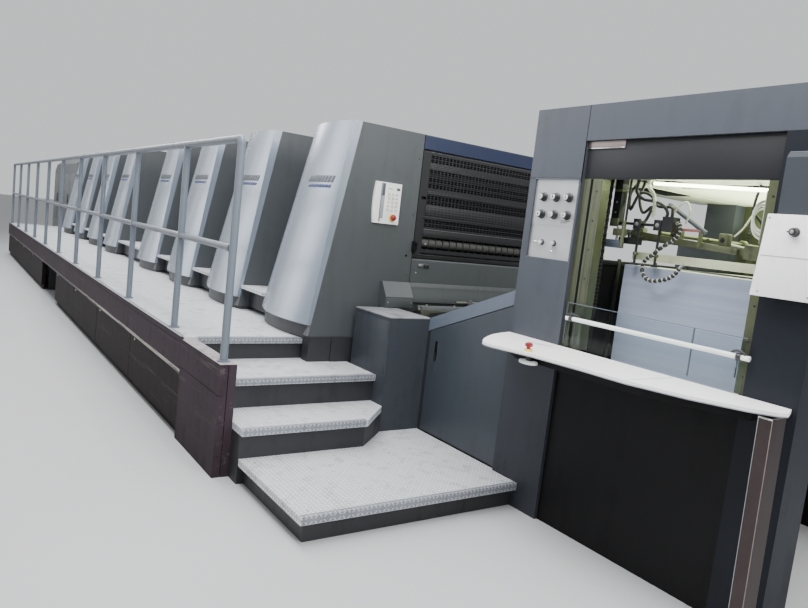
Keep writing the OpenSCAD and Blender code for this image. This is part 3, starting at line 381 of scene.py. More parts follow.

# Colour, colour of dirt and of the foot darkening (painted shade on some paints), roughness, drift and
# patches of each paint, and what differs from paint()'s defaults
PAINTS = {
    "dark_paint": ((66, 70, 73), (48, 48, 48), 0.4, 0.1, 0.25, {"foot": 0.25}),
    "base_paint": ((36, 37, 41), (26, 25, 26), 0.5, 0.25, 0.4, {"foot": 0.25}),
    "silver_paint": ((147, 157, 170), (112, 120, 130), 0.25, 0.04, 0.015,
                     {"foot": 0.12, "foot_h": 0.8, "peel": 620.0, "metal": 0.45, "coat": 0.35}),
    "blue_paint": ((29, 38, 66), (27, 32, 47), 0.34, 0.08, 0.2),
    "guard_sheet": ((36, 36, 39), (31, 30, 31), 0.46, 0.2, 0.45, {"metal": 0.1, "shine": 0.3}),
    "rail_paint": ((106, 114, 124), (84, 88, 94), 0.36, 0.1, 0.2),
    "side_paint": ((52, 58, 65), (40, 42, 46), 0.42, 0.1, 0.25, {"foot": 0.3, "foot_h": 0.4}),
    "post_paint": ((56, 60, 66), (34, 36, 39), 0.44, 0.14, 0.35, {"foot": 0.3, "foot_h": 0.4, "shine": 0.2}),
    "flange_paint": ((86, 95, 108), (80, 84, 92), 0.4, 0.08, 0.2),
    # The feeder frame's darkening up to 1.6 m is painted shade on the lower columns.
    "feeder_paint": ((68, 72, 80), (36, 39, 45), 0.38, 0.12, 0.2,
                     {"foot": 0.85, "foot_h": 1.6, "shine": 0.3}),
    "navy_paint": ((27, 30, 37), (21, 21, 25), 0.4, 0.12, 0.2, {"foot": 0.25, "shine": 0.15}),
    "cream_paint": ((214, 219, 190), (150, 151, 118), 0.45, 0.1, 0.3),
    "green_cast": ((98, 103, 78), (56, 57, 44), 0.45, 0.35, 0.8,
                   {"metal": 0.2, "peel": 160.0, "peel_depth": 0.0003}),
    "black_metal": ((40, 42, 44), (58, 57, 50), 0.38, 0.2, 0.4, {"metal": 0.35}),
    "white_paint": ((236, 238, 240), (168, 168, 170), 0.3, 0.05, 0.2),
    "black_plastic": ((30, 31, 33), (58, 58, 58), 0.36, 0.2, 0.25),
    "table_white": ((252, 252, 251), (190, 188, 186), 0.3, 0.03, 0.14),
    "control_white": ((232, 232, 230), (140, 140, 136), 0.32, 0.04, 0.2),
    "delivery_paint": ((92, 96, 99), (74, 76, 78), 0.42, 0.1, 0.25, {"foot": 0.3}),
    "apron_painted_shade": ((38, 39, 42), (30, 29, 30), 0.42, 0.12, 0.2, {"shine": 0.2}),
    "roller_grey": ((68, 68, 66), (58, 58, 56), 0.62, 0.4, 0.6, {"shine": 0.2}),
    "dusty_top": ((158, 150, 152), (112, 104, 106), 0.6, 0.25, 0.7, {"peel": 120.0, "peel_depth": 0.0004}),
    "pale_sheet": ((84, 87, 90), (56, 56, 56), 0.5, 0.2, 0.5),
    # Near black: painted shade under the table on the skirts and the console frame.
    "skirt_painted_shade": ((5, 5, 7), (7, 7, 8), 0.5, 0.3, 0.4, {"foot": 0.25, "shine": 0.2}),
    "worn_lid": ((131, 133, 138), (88, 90, 92), 0.5, 0.35, 0.9, {"peel": 90.0, "peel_depth": 0.0004}),
    "pit_black": ((13, 14, 15), (22, 21, 20), 0.8, 0.3, 0.3, {"shine": 0.1}),
    # The guide rails' darkening below 1.75 m is painted shade under their lit tops.
    "guide_steel": ((92, 98, 72), (38, 40, 35), 0.3, 0.3, 0.3, {"metal": 0.5, "foot": 0.9, "foot_h": 1.75}),
    "red_plastic": ((136, 30, 36), (110, 30, 32), 0.3, 0.1, 0.15),
    "yellow_plastic": ((224, 196, 62), (150, 130, 50), 0.4, 0.1, 0.15),
    "grey_plastic": ((150, 154, 158), (110, 112, 114), 0.4, 0.08, 0.2),
    "pale_button": ((204, 196, 194), (150, 140, 140), 0.3, 0.3, 0.3),
    "print_ink": ((66, 70, 76), (90, 92, 96), 0.5, 0.1, 0.1),
    "mark_grey": ((70, 75, 83), (118, 122, 130), 0.35, 0.2, 0.3),
    "mark_blue": ((36, 50, 106), (60, 74, 118), 0.3, 0.08, 0.1),
    "dial_white": ((222, 224, 220), (120, 120, 116), 0.35, 0.06, 0.15),
    "pale_tube": ((216, 220, 202), (150, 152, 120), 0.3, 0.1, 0.3),
    "pink_bar": ((196, 128, 126), (120, 84, 78), 0.4, 0.15, 0.3),
    "rubber": ((34, 34, 36), (70, 68, 64), 0.65, 0.2, 0.3),
}

# Colour, roughness, stretch of the lines, darkening by smudges, and the smudges' own roughness
METALS = {
    "brushed": ((176, 178, 180), 0.34, (3.0, 420.0, 420.0), 0.25),
    "leg_silver": ((82, 73, 73), 0.4, (300.0, 300.0, 3.0), 0.45),
    "worn_plate": ((166, 152, 150), 0.4, (3.0, 300.0, 300.0), 0.3),
    "chrome": ((206, 208, 206), 0.16, (4.0, 200.0, 200.0), 0.15),
    "oily_steel": ((112, 114, 110), 0.32, (90.0, 90.0, 90.0), 0.5, 0.3),
    "lit_steel": ((114, 119, 92), 0.3, (90.0, 90.0, 90.0), 0.5, 0.3),
    "smudged_plate": ((196, 198, 200), 0.42, (300.0, 300.0, 3.0), 0.2, 0.25),
}

# Materials with a function of their own, and its arguments
SPECIAL = {
    "tread_plate": (tread_plate, (196, 200, 206), (124, 121, 118), 0.95),
    "tread_edge": (tread_plate, (132, 136, 144), (92, 94, 98), 0.42),
    "fascia_paint": (fascia_paint, (62, 52, 59), (35, 28, 29)),
    "cupboard_paint": (fascia_paint, (39, 32, 31), (22, 18, 17)),
    "lamp_tube": (lit_tube,), "board_wood": (wood,), "sheets": (sheets,), "clear_guard": (clear_sheet,),
    "grid_metal": (grid_metal,), "smeared_white": (smeared_white,), "strip_metal": (strip_metal,),
}

# The CAD nodes that carry each look
NODE_LOOKS = {
    "base_paint": "base_frame cover_plinths gallery_frame step_risers feed_base",
    "dark_paint": "unit_1_housing rear_housings lower_guard junction_box",
    "silver_paint": "operator_covers drive_covers", "blue_paint": "blue_bands",
    "tread_plate": "foot_steps gallery_deck treads", "guard_sheet": "upper_guard rear_guards",
    "control_white": "control_panel", "fascia_paint": "gallery_fascia step_cheek",
    "strip_metal": "gallery_strip", "cupboard_paint": "gallery_cupboards",
    "post_paint": "post_box control_box", "rail_paint": "railing", "skirt_painted_shade": "side_skirts console_frame",
    "oily_steel": "feed_board", "side_paint": "feed_side_door feed_side_panel",
    "flange_paint": "feed_flanges",
    "feeder_paint": "front_columns feeder_beams", "navy_paint": "rear_posts", "cream_paint": "canopy",
    "lamp_tube": "lamp", "guide_steel": "guide_rails", "board_wood": "pile_board delivery_board",
    "sheets": "sheet_pile", "green_cast": "suction_head", "black_metal": "side_blower",
    "black_plastic": "blower_hose air_hoses " + " ".join(f"air_knob_{i}" for i in range(1, 7)),
    "clear_guard": "slide_guard", "white_paint": "guard_bar", "smudged_plate": "knob_panel",
    "table_white": "console_table", "leg_silver": "console_leg", "chrome": "air_lever_1 air_lever_2",
    "delivery_paint": "delivery_housing",
}


def add_looks(context):
    """Makes the shared groups and every material once, and gives the CAD nodes their looks."""
    for build in (build_worn_paint, build_brushed, build_chequer, build_scuffs, build_grid):
        build()
    for name, row in PAINTS.items():
        LOOK[name] = paint(name, *row[:5], **(row[5] if len(row) > 5 else {}))
    for name, row in METALS.items():
        LOOK[name] = metal(name, *row)
    for name, (build, *values) in SPECIAL.items():
        LOOK[name] = build(name, *values)
    for look, names in NODE_LOOKS.items():
        for name in names.split():
            materials = bpy.data.objects[name].data.materials
            materials.clear()
            materials.append(LOOK[look])


# ---------------------------------------------------------------- mesh building


def upright(at, axis):
    """The place whose Z looks along an axis."""
    return Matrix.Translation(at) @ Z.rotation_difference(Vector(axis)).to_matrix().to_4x4()


def soften(form, offset, segments=2):
    """Bevels every edge of a form."""
    bmesh.ops.bevel(form, geom=form.edges[:], offset=offset, segments=segments, affect="EDGES", profile=0.5,
                    material=-1, clamp_overlap=True)


def spin_round(form, geom, at, axis, steps):
    """Spins geometry once round an axis and closes it."""
    bmesh.ops.spin(form, geom=geom, cent=at, axis=Vector(axis).normalized(), angle=math.tau, steps=steps,
                   use_merge=True)
    bmesh.ops.remove_doubles(form, verts=form.verts[:], dist=1e-6)


def new_verts(made):
    """The vertices among what an operator made."""
    return [g for g in made if isinstance(g, bmesh.types.BMVert)]


class Shape:
    """A mesh that grows by simple forms. Each form is built apart, gets its look, and is then joined."""

    def __init__(self, *looks):
        self.looks = looks
        self.bm = bmesh.new()
        self.scratch = bpy.data.meshes.new("scratch")

    def join(self, form, look):
        bmesh.ops.recalc_face_normals(form, faces=form.faces[:])
        for face in form.faces:
            face.material_index = self.looks.index(look) if look else 0
        form.to_mesh(self.scratch)
        form.free()
        self.bm.from_mesh(self.scratch)
        return self

    def block(self, low, high, bevel=0.0015, look=None, segments=2):
        """A box with rounded edges."""
        form = bmesh.new()
        low, high = Vector(low), Vector(high)
        place = Matrix.Translation((low + high) / 2) @ Matrix.Diagonal((*(high - low), 1))
        bmesh.ops.create_cube(form, size=1, matrix=place)
        soften(form, bevel, segments)
        return self.join(form, look)

    def turned(self, profile, at, axis=Z, steps=20, look=None):
        """Spins a profile of (radius, height) pairs round an axis."""
        form = bmesh.new()
        place = upright(at, axis)
        verts = [form.verts.new(place @ Vector((r, 0, h))) for r, h in profile]
        edges = [form.edges.new(pair) for pair in zip(verts, verts[1:])]
        spin_round(form, verts + edges, at, axis, steps)
        return self.join(form, look)

    def wheel(self, bore, r, low, high, edge, at, axis, steps, look):
        """A collar or wheel round an axis, with edges cut off by (across, along)."""
        across, along = edge
        return self.turned([(bore, low), (r - across, low), (r, low + along), (r, high - along),
                            (r - across, high), (bore, high), (bore, low)], at, axis, steps, look)

    def rod(self, a, b, r, look=None, steps=14, round_off=0.12):
        """A rod between two points with rounded ends."""
        a, b = Vector(a), Vector(b)
        length, edge = (b - a).length, r * round_off
        return self.turned([(0, 0), (r - edge, 0), (r, edge), (r, length - edge), (r - edge, length),
                            (0, length)], a, b - a, steps, look)

    def hexhead(self, at, axis, r, look):
        """A hexagon screw head on a washer."""
        form = bmesh.new()
        bmesh.ops.create_cone(form, cap_ends=True, segments=6, radius1=r, radius2=r, depth=r,
                              matrix=upright(at, axis) @ Matrix.Translation((0, 0, r * 0.7)))
        soften(form, r * 0.12, 1)
        self.join(form, look)
        self.turned([(0, 0), (r * 1.5, 0), (r * 1.5, r * 0.15), (r * 1.1, r * 0.22), (0, r * 0.22)],
                    at, axis, 12, look)

    def hexheads(self, places, axis, r, look):
        for at in places:
            self.hexhead(at, axis, r, look)

    def screw(self, at, axis, r, look):
        """A round screw head with a sunk middle."""
        self.turned([(0, 0), (r, 0), (r, r * 0.3), (r * 0.7, r * 0.55), (r * 0.35, r * 0.55),
                     (r * 0.3, r * 0.2), (0, r * 0.2)], at, axis, 12, look)

    def screws(self, places, axis, r, look):
        for at in places:
            self.screw(at, axis, r, look)

    def plate(self, outline, push, look=None, bevel=0.001):
        """An outline of points drawn out by a vector, with rounded edges."""
        form = bmesh.new()
        face = form.faces.new([form.verts.new(p) for p in outline])
        made = bmesh.ops.extrude_face_region(form, geom=[face])["geom"]
        bmesh.ops.translate(form, vec=Vector(push), verts=new_verts(made))
        if bevel:
            soften(form, bevel)
        return self.join(form, look)

    def tube(self, points, r, look=None, sides=10):
        """A tube along a line of points, closed at both ends."""
        form = bmesh.new()
        points = [Vector(p) for p in points]
        ways = [(b - a).normalized() for a, b in zip(points, points[1:])]
        ways = [ways[0]] + [(a + b).normalized() for a, b in zip(ways, ways[1:])] + [ways[-1]]
        bmesh.ops.create_circle(form, cap_ends=True, segments=sides, radius=r,
                                matrix=upright(points[0], ways[0]))
        edges = form.edges[:]
        for before, after, way_a, way_b in zip(points, points[1:], ways, ways[1:]):
            made = bmesh.ops.extrude_edge_only(form, edges=edges)["geom"]
            ring = set(new_verts(made))
            edges = [g for g in made if isinstance(g, bmesh.types.BMEdge) and ring.issuperset(g.verts)]
            step = way_a.rotation_difference(way_b).to_matrix()
            for v in ring:
                v.co = after + step @ (v.co - before)
        bmesh.ops.contextual_create(form, geom=edges)
        return self.join(form, look)

    def ring(self, at, axis, radius, wire, look=None, steps=14, sides=6):
        """A round wire ring."""
        form = bmesh.new()
        across = upright(at, axis) @ Matrix.Translation((radius, 0, 0)) @ Matrix.Rotation(math.pi / 2, 4, "X")
        bmesh.ops.create_circle(form, segments=sides, radius=wire, matrix=across)
        spin_round(form, form.verts[:] + form.edges[:], at, axis, steps)
        return self.join(form, look)

    def done(self, name, body="press", slot=None, stands_for=()):
        """Turns the shape into a piece that rides on a CAD body."""
        mesh = bpy.data.meshes.new(name)
        self.bm.to_mesh(mesh)
        self.bm.free()
        bpy.data.meshes.remove(self.scratch)
        for look in self.looks:
            mesh.materials.append(LOOK[look])
        mesh.polygons.foreach_set("use_smooth", [True] * len(mesh.polygons))
        mesh.set_sharp_from_angle(angle=math.radians(40))
        piece = bpy.data.objects.new(name, mesh)
        bpy.context.scene.collection.objects.link(piece)
        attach(piece, body)
        if stands_for:
            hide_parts(*stands_for)


def spline(points, t):
    """The Catmull-Rom point at t spans along a list of places."""
    i = min(int(t), len(points) - 2)
    u = t - i
    a, b, c, d = points[max(i - 1, 0)], points[i], points[i + 1], points[min(i + 2, len(points) - 1)]
    return 0.5 * (2 * b + (c - a) * u + (2 * a - 5 * b + 4 * c - d) * u * u
                  + (3 * b - 3 * c + d - a) * u ** 3)


def curve(points, per_span=6):
    """Points along a smooth line through a list of places."""
    points = [Vector(q) for q in points]
    last = len(points) - 1
    return [spline(points, i + k / per_span) for i in range(last) for k in range(per_span)] + [points[-1]]


# ---------------------------------------------------------------- printing units


# Middle heights of the slot rows, and the thin dark strips between them: painted shade standing for finer
# slot rows
SLOT_MIDS = (1.91, 1.883, 1.811, 1.754, 1.711, 1.632, 1.596, 1.466, 1.438)
SLOT_SHADE_ROWS = ((1.861, 0.0035, "black_metal"), (1.848, 0.0035, "black_metal"),
                (1.835, 0.0035, "black_metal"),
                (1.7915, 0.0045, "pit_black"), (1.777, 0.0045, "pit_black"), (1.733, 0.004, "pit_black"),
                (1.672, 0.003, "black_metal"), (1.613, 0.003, "pit_black"))
# Bands on the upper guard: foot, top, thickness, overhang, bevel and look
GUARD_BANDS = (
    (1.653, 1.664, 0.006, 0, 0.002, "guard_sheet"), (1.508, 1.58, 0.004, 0, 0.0015, "grid_metal"),
    (1.362, 1.402, 0.003, 0, 0.001, "guard_sheet"), (1.491, 1.498, 0.004, 0.01, 0.001, "black_metal"),
    (1.481, 1.487, 0.007, 0.01, 0.002, "guard_sheet"), (1.406, 1.411, 0.006, 0, 0.002, "pale_sheet"),
    (1.222, 1.231, 0.003, 0.02, 0.0005, "black_metal"))
LATCH = ((-0.622, 1.318), (-0.622, 1.25), (-0.608, 1.238), (-0.588, 1.258), (-0.588, 1.296), (-0.604, 1.322))
BAR_GAPS, ROLLERS, ROLLER_Z = 34, 17, 1.313


def unit_face_pieces(face, tag, upper, lower):
    """Bars, bands, rollers, latches and handles on the guards of one unit, which ride on two bodies."""
    bars = Shape("black_metal", "guard_sheet", "pit_black")
    for i in range(1, BAR_GAPS):
        y = -SLOT_HALF + i * 2 * SLOT_HALF / BAR_GAPS
        bars.block((face - 0.028, y - 0.0025, 1.40), (face + 0.0012, y + 0.0025, 1.925), 0.0008,
                   "guard_sheet")
    for z in SLOT_MIDS:
        bars.block((face - 0.008, -SLOT_HALF, z - 0.0015), (face - 0.0008, SLOT_HALF, z + 0.0015), 0.0006,
                   "guard_sheet")
    # Dark strips on the face for the finer slot rows: painted shade of their openings.
    for z, half, look in SLOT_SHADE_ROWS:
        bars.block((face - 0.002, -SLOT_HALF, z - half), (face + 0.0006, SLOT_HALF, z + half), 0.0003, look)
    bars.done(f"guard_bars_{tag}", upper, "guard_sheet")

    trim = Shape("guard_sheet", "grid_metal", "black_metal", "pale_sheet")
    for foot, top, thick, past, bevel, look in GUARD_BANDS:
        trim.block((face, -SLOT_HALF - past, foot), (face + thick, SLOT_HALF, top), bevel, look)
    for y in (-0.53, -0.47):
        trim.block((face, y - 0.014, 1.938), (face + 0.002, y + 0.014, 1.942), 0.0006, "pale_sheet")
    trim.done(f"guard_trim_{tag}", upper, "guard_sheet")

    latch = Shape("pit_black", "brushed")
    latch.plate([(face, y, z) for y, z in LATCH], (0.02, 0, 0), "pit_black", 0.002)
    latch.rod((face, -0.602, 1.302), (face + 0.034, -0.602, 1.302), 0.009, "pit_black")
    latch.screws([(face, -0.505, 1.305)], X, 0.007, "brushed")
    latch.done(f"guard_latch_{tag}", upper)

    grip = Shape("black_plastic", "brushed", "dark_paint", "pale_sheet")
    grip.block((face - 0.002, -0.55, 1.136), (face + 0.003, -0.452, 1.168), 0.003, "dark_paint")
    grip.block((face + 0.002, -0.546, 1.142), (face + 0.008, -0.503, 1.162), 0.002, "brushed")
    grip.block((face + 0.002, -0.500, 1.140), (face + 0.014, -0.458, 1.164), 0.004, "black_plastic")
    grip.screws(product((face,), (-0.56, 0.56), (1.1,)), X, 0.006, "brushed")
    grip.block((face, -GUARD_HALF + 0.01, 0.905), (face + 0.002, GUARD_HALF - 0.01, 1.028), 0.0012,
               "pale_sheet")
    grip.done(f"guard_handle_{tag}", lower)

    rollers = Shape("guard_sheet", "pit_black", "roller_grey")
    pocket = face - 0.066
    x = pocket + 0.032
    rollers.rod((x, -0.56, ROLLER_Z), (x, 0.56, ROLLER_Z), 0.012, "pit_black")
    rng = random.Random(round(face * 100))
    for i in range(ROLLERS):
        y = -SLOT_HALF + (i + 0.5) * 2 * SLOT_HALF / ROLLERS
        half = 0.0275 + rng.uniform(-0.002, 0.001)
        rollers.wheel(0.012, 0.031, -half, half, (0.002, 0.002), (x, y, ROLLER_Z), Y, 16, "roller_grey")
        rollers.block((pocket, y + 0.0297, 1.27), (pocket + 0.05, y + 0.0337, 1.356), 0.001, "guard_sheet")
    rollers.done(f"ink_rollers_{tag}")


def add_unit_faces(context):
    """The pieces on the guards of all units, and the screws on their housings."""
    unit_face_pieces(UNIT_FACES[0], "1", "upper_guard", "lower_guard")
    for i, face in enumerate(UNIT_FACES[1:], 2):
        unit_face_pieces(face, str(i), "press", "press")
    spots = Shape("pit_black", "brushed", "black_metal")
    for face in UNIT_FACES:
        spots.turned([(0, 0.002), (0.004, 0.002), (0.006, 0), (0.0075, 0), (0.0075, 0.003), (0.0065, 0.004),
                      (0.0055, 0.003), (0.004, 0.0025), (0, 0.0025)], (face, -0.66, 1.215), X, 12,
                     "pit_black")
        spots.screws(product((face,), (-0.64, 0.64), (1.08, 1.5, 1.88)), X, 0.005, "black_metal")
        spots.hexheads(product((face - UNIT_L,), (-0.75, 0.75), (0.95, 1.4, 1.85)), -X, 0.009, "black_metal")
    spots.done("housing_screws")


# Each row of the covers' mark: count, start, pitch, width, foot, top, slant and look
MARK_ROWS = ((9, -0.40, 0.038, 0.029, 1.641, 1.686, 0.014, "mark_grey"),
             (8, -0.375, 0.037, 0.034, 1.606, 1.626, 0.007, "mark_blue"))


def add_cover_marks(context):
    """A generic mark on each side cover: slanted grey bars over a blue line, on both sides."""
    marks = Shape("mark_grey", "mark_blue")
    for face, (side, cover) in product(UNIT_FACES, ((-1, "operator_covers"), (1, "drive_covers"))):
        node = bpy.data.objects[cover]
        for count, start, pitch, width, low, high, slant, look in MARK_ROWS:
            for i in range(count):
                x = face + start + i * pitch
                corners = ((x, low), (x + width, low), (x + width + slant, high), (x + slant, high))
                hits = [node.ray_cast(Vector((cx, side * 3, cz)), Vector((0, -side, 0)))[1]
                        for cx, cz in corners]
                marks.plate([hit - Y * side * 0.001 for hit in hits], (0, side * 0.0028, 0), look, 0.0004)
    marks.done("cover_marks")


def add_control_panel(context):
    """Buttons, lamps, grip channel and emergency stop on the white panel of the first unit."""
    x = 4.796
    panel = Shape("control_white", "grey_plastic", "red_plastic", "yellow_plastic", "print_ink",
                  "pale_button")
    panel.block((x - 0.004, -0.919, 1.448), (x + 0.0006, -0.894, 1.683), 0.0003, "grey_plastic")
    panel.block((x, -0.917, 1.60), (x + 0.0012, -0.896, 1.681), 0.0003, "print_ink")
    panel.block((x, -0.922, 1.446), (x + 0.003, -0.919, 1.685), 0.001, "grey_plastic")
    for row, col in product(range(5), range(3)):
        z, y = 1.615 - row * 0.026, -0.862 + col * 0.032
        panel.block((x, y - 0.009, z - 0.008), (x + 0.003, y + 0.009, z + 0.008), 0.001, "pale_button")
    panel.block((x, -0.805, 1.643), (x + 0.0012, -0.777, 1.66), 0.0004, "print_ink")
    panel.block((x, -0.87, 1.648), (x + 0.001, -0.835, 1.652), 0.0003, "print_ink")
    stop = (x, -0.82, 1.461)
    panel.turned([(0, 0), (0.026, 0), (0.026, 0.002), (0.024, 0.003), (0, 0.003)], stop, X, 28,
                 "yellow_plastic")
    panel.turned([(0, 0.003), (0.012, 0.003), (0.012, 0.012), (0.02, 0.014), (0.021, 0.018), (0.019, 0.025),
                  (0.012, 0.028), (0, 0.029)], stop, X, 28, "red_plastic")
    panel.screws(product((x,), (-0.966, -0.777), (1.43, 1.675)), X, 0.003, "grey_plastic")
    panel.done("control_panel_parts", slot="control_white")

    box = Shape("dark_paint", "black_metal", "brushed")
    box.block((4.872, -0.84, 0.862), (4.876, -0.628, 0.925), 0.0015, "dark_paint")
    box.screws(product((4.876,), (-0.83, -0.638), (0.895,)), X, 0.005, "brushed")
    for x, y in ((4.80, -0.70), (4.83, -0.76)):
        box.rod((x, y, 0.857), (x, y, 0.79), 0.012, "black_metal")
    box.done("junction_box_parts")

    sill = Shape("oily_steel", "pit_black", "brushed")
    sill.hexheads(product((4.8,), (-0.66, -0.61, -0.56), (0.80,)), Z, 0.009, "brushed")
    sill.block((4.79, -0.72, 0.775), (4.86, -0.5, 0.8), 0.004, "oily_steel")
    sill.block((4.80, -0.70, 0.80), (4.82, -0.62, 0.825), 0.003, "brushed")
    sill.block((4.83, -0.6, 0.80), (4.86, -0.53, 0.818), 0.003, "pit_black")
    sill.done("feed_end_fittings")


# ---------------------------------------------------------------- gallery and steps


# End, height and sides of each tread's bare nosing
NOSINGS = ((DECK_END, DECK_H, -2.036, -1.182), (5.164, 0.473, -2.038, -1.052), (5.51, 0.300, -2.038, -1.30),
           (6.22, 0.135, -2.033, -0.777))
RAIL_Y, RAIL_R = -2.085, 0.0215


def add_gallery(context):
    """Bare nosings, fascia joints, cupboard locks, railing collars and the bare edge of each step."""
    edges = Shape("tread_edge")
    for x, z, y0, y1 in NOSINGS:
        edges.block((x - 0.026, y0, z - 0.036), (x + 0.0015, y1, z + 0.0012), 0.002)
    edges.block((DECK_START + 0.002, -GALLERY_HALF + 0.0008, DECK_H - 0.004),
                (DECK_END - 0.03, -GALLERY_HALF + 0.03, DECK_H + 0.0006), 0.0006)
    edges.done("step_nosings", slot="bare_rail")

    fascia = Shape("fascia_paint", "black_metal", "brushed", "dusty_top")
    pitch = (DECK_END - DECK_START) / CUPBOARDS
    door = -GALLERY_HALF + 0.012
    for i in range(CUPBOARDS):
        x = DECK_START + i * pitch
        if i != MISSING_CUPBOARD:
            fascia.turned([(0, 0), (0.01, 0), (0.01, 0.002), (0.007, 0.004), (0.003, 0.004), (0.002, 0.001),
                           (0, 0.001)], (x + 0.14, door, 0.372), -Y, 16, "brushed")
            fascia.screws(product((x + pitch - 0.05,), (door,), (0.1, 0.36)), -Y, 0.005, "black_metal")
        fascia.block((x - 0.001, -GALLERY_HALF - 0.001, 0.424), (x + 0.002, -GALLERY_HALF + 0.001, 0.576),
                     0.0004, "black_metal")
        fascia.screws(product((x + 0.12, x + pitch - 0.12), (-GALLERY_HALF - 0.003,), (0.41,)), -Y, 0.004,
                      "brushed")
    fascia.block((DECK_END + 0.002, -GALLERY_HALF + 0.002, 0.6025), (5.358, -2.042, 0.6038), 0.0005,
                 "dusty_top")
    fascia.done("fascia_parts", slot="fascia_paint")

    rail = Shape("rail_paint", "brushed")
    for i in range(10):
        x = -6.98 + i * 1.26
        for z in (1.2, 1.76):
            rail.turned([(RAIL_R, -0.028), (0.0235, -0.026), (0.0235, -0.024), (RAIL_R, -0.022),
                         (RAIL_R, -0.028)],
                        (x, RAIL_Y, z), Z, 20, "rail_paint")
        turns = [math.radians(22.5 + 90 * k) for k in range(4)]
        rail.screws([(x + 0.028 * math.cos(a), RAIL_Y + 0.028 * math.sin(a), DECK_H + 0.008) for a in turns],
                    Z, 0.004, "brushed")
    rail.turned([(RAIL_R, -0.02), (0.024, -0.018), (0.024, 0.018), (RAIL_R, 0.02), (RAIL_R, -0.02)],
                (5.24, RAIL_Y, 1.2), X, 20, "rail_paint")
    rail.done("railing_collars", slot="rail_paint")

    deck = Shape("black_metal", "brushed")
    deck.screws([(DECK_START + 0.06 + i * 0.964, y, DECK_H) for i in range(13) for y in (-2.08, -1.24)],
                Z, 0.007, "brushed")
    deck.screws(product((5.0, 5.13), (-1.98, -1.12), (0.473,)), Z, 0.006, "brushed")
    deck.screws(((5.56, -1.98, 0.135), (6.17, -1.98, 0.135), (6.17, -0.84, 0.135), (5.62, -1.2, 0.135)),
                Z, 0.006, "brushed")
    deck.done("deck_screws", slot="bare_rail")


# ---------------------------------------------------------------- feed section


# Plan of the post box: x and y limits, and the foot of its lid
BOX_X, BOX_Y, LID_Z = (4.84, 5.262), (-1.05, -0.74), 0.854
BOARD_RODS = (5.9, 5.25)


def feed_top(x):
    """Height of the top of the feed section's side at a place."""
    return 0.775 + (x - 5.262) * math.tan(math.radians(20.9))


def board_top(x):
    """Height of the feed board at a place."""
    return 0.77 + (x - 4.79) * 0.224 + 0.034


def add_feed_section(context):
    """Post box lid, door frame and hinge parts, flange screws, and the board's tapes and wheels."""
    box = Shape("worn_lid", "post_paint", "black_metal")
    (x0, x1), (y0, y1), z = BOX_X, BOX_Y, LID_Z
    box.block((x0 + 0.001, y0 - 0.002, z - 0.006), (x1 + 0.002, y1 - 0.001, z + 0.003), 0.002, "worn_lid")
    box.block((x0 + 0.014, y0 - 0.0015, 0.5), (x1 - 0.012, y0 + 0.002, z - 0.03), 0.001, "post_paint")
    box.screws(product((x0 + 0.03, x1 - 0.03), (y0 - 0.0015,), (0.53, 0.8)), -Y, 0.004, "black_metal")
    box.done("post_box_lid", slot="flange_paint")

    door = Shape("black_metal", "side_paint", "brushed", "pit_black")
    # The black plates in the recess and above it stand for the grip's slot: painted shade.
    for low, high, bevel, look in (
            ((5.354, -0.7445, 0.60), (5.376, -0.742, 0.657), 0.001, "pit_black"),
            ((5.3525, -0.7556, 0.66), (5.3775, -0.753, 0.725), 0.001, "pit_black"),
            ((5.3505, -0.7552, 0.5335), (5.3795, -0.742, 0.6), 0.0006, "side_paint"),
            ((5.35, -0.7565, 0.597), (5.353, -0.754, 0.731), 0.0006, "black_metal"),
            ((5.378, -0.7565, 0.597), (5.381, -0.754, 0.731), 0.0006, "black_metal"),
            ((5.353, -0.7565, 0.597), (5.378, -0.754, 0.6), 0.0006, "black_metal"),
            ((5.353, -0.7565, 0.728), (5.378, -0.754, 0.731), 0.0006, "black_metal"),
            ((5.381, -0.7562, 0.60), (5.3825, -0.754, 0.728), 0.0004, "brushed")):
        door.block(low, high, bevel, look)
    door.done("door_grip", "feed_door")

    flange = Shape("brushed")
    flange.screws([(x, side * 0.735, feed_top(x) + 0.0815) for x in (5.34, 5.54, 5.74,
                                                                     5.94) for side in SIDES],
                  Z, 0.005, "brushed")
    flange.done("flange_screws")

    board = Shape("rubber", "brushed", "oily_steel", "pale_sheet")
    for x in BOARD_RODS:
        board.rod((x, -0.55, board_top(x) + 0.05), (x, 0.55, board_top(x) + 0.05), 0.012, "oily_steel")
    for i, x in product(range(6), BOARD_RODS):
        y, z = -0.45 + i * 0.18, board_top(x)
        board.wheel(0.012, 0.03, -0.012, 0.012, (0.002, 0.003), (x, y, z + 0.032), Y, 18, "rubber")
        board.block((x - 0.012, y + 0.02, z + 0.03), (x + 0.012, y + 0.03, z + 0.075), 0.002, "pale_sheet")
    board.block((4.84, -0.56, board_top(4.84) - 0.002), (4.9, 0.56, board_top(4.9) + 0.05), 0.004,
                "pale_sheet")
    board.hexheads([(4.87, y, board_top(4.9) + 0.05) for y in (-0.5, -0.25, 0, 0.25, 0.5)], Z, 0.008,
                   "brushed")
    board.done("feed_board_parts")


# ---------------------------------------------------------------- feeder outside


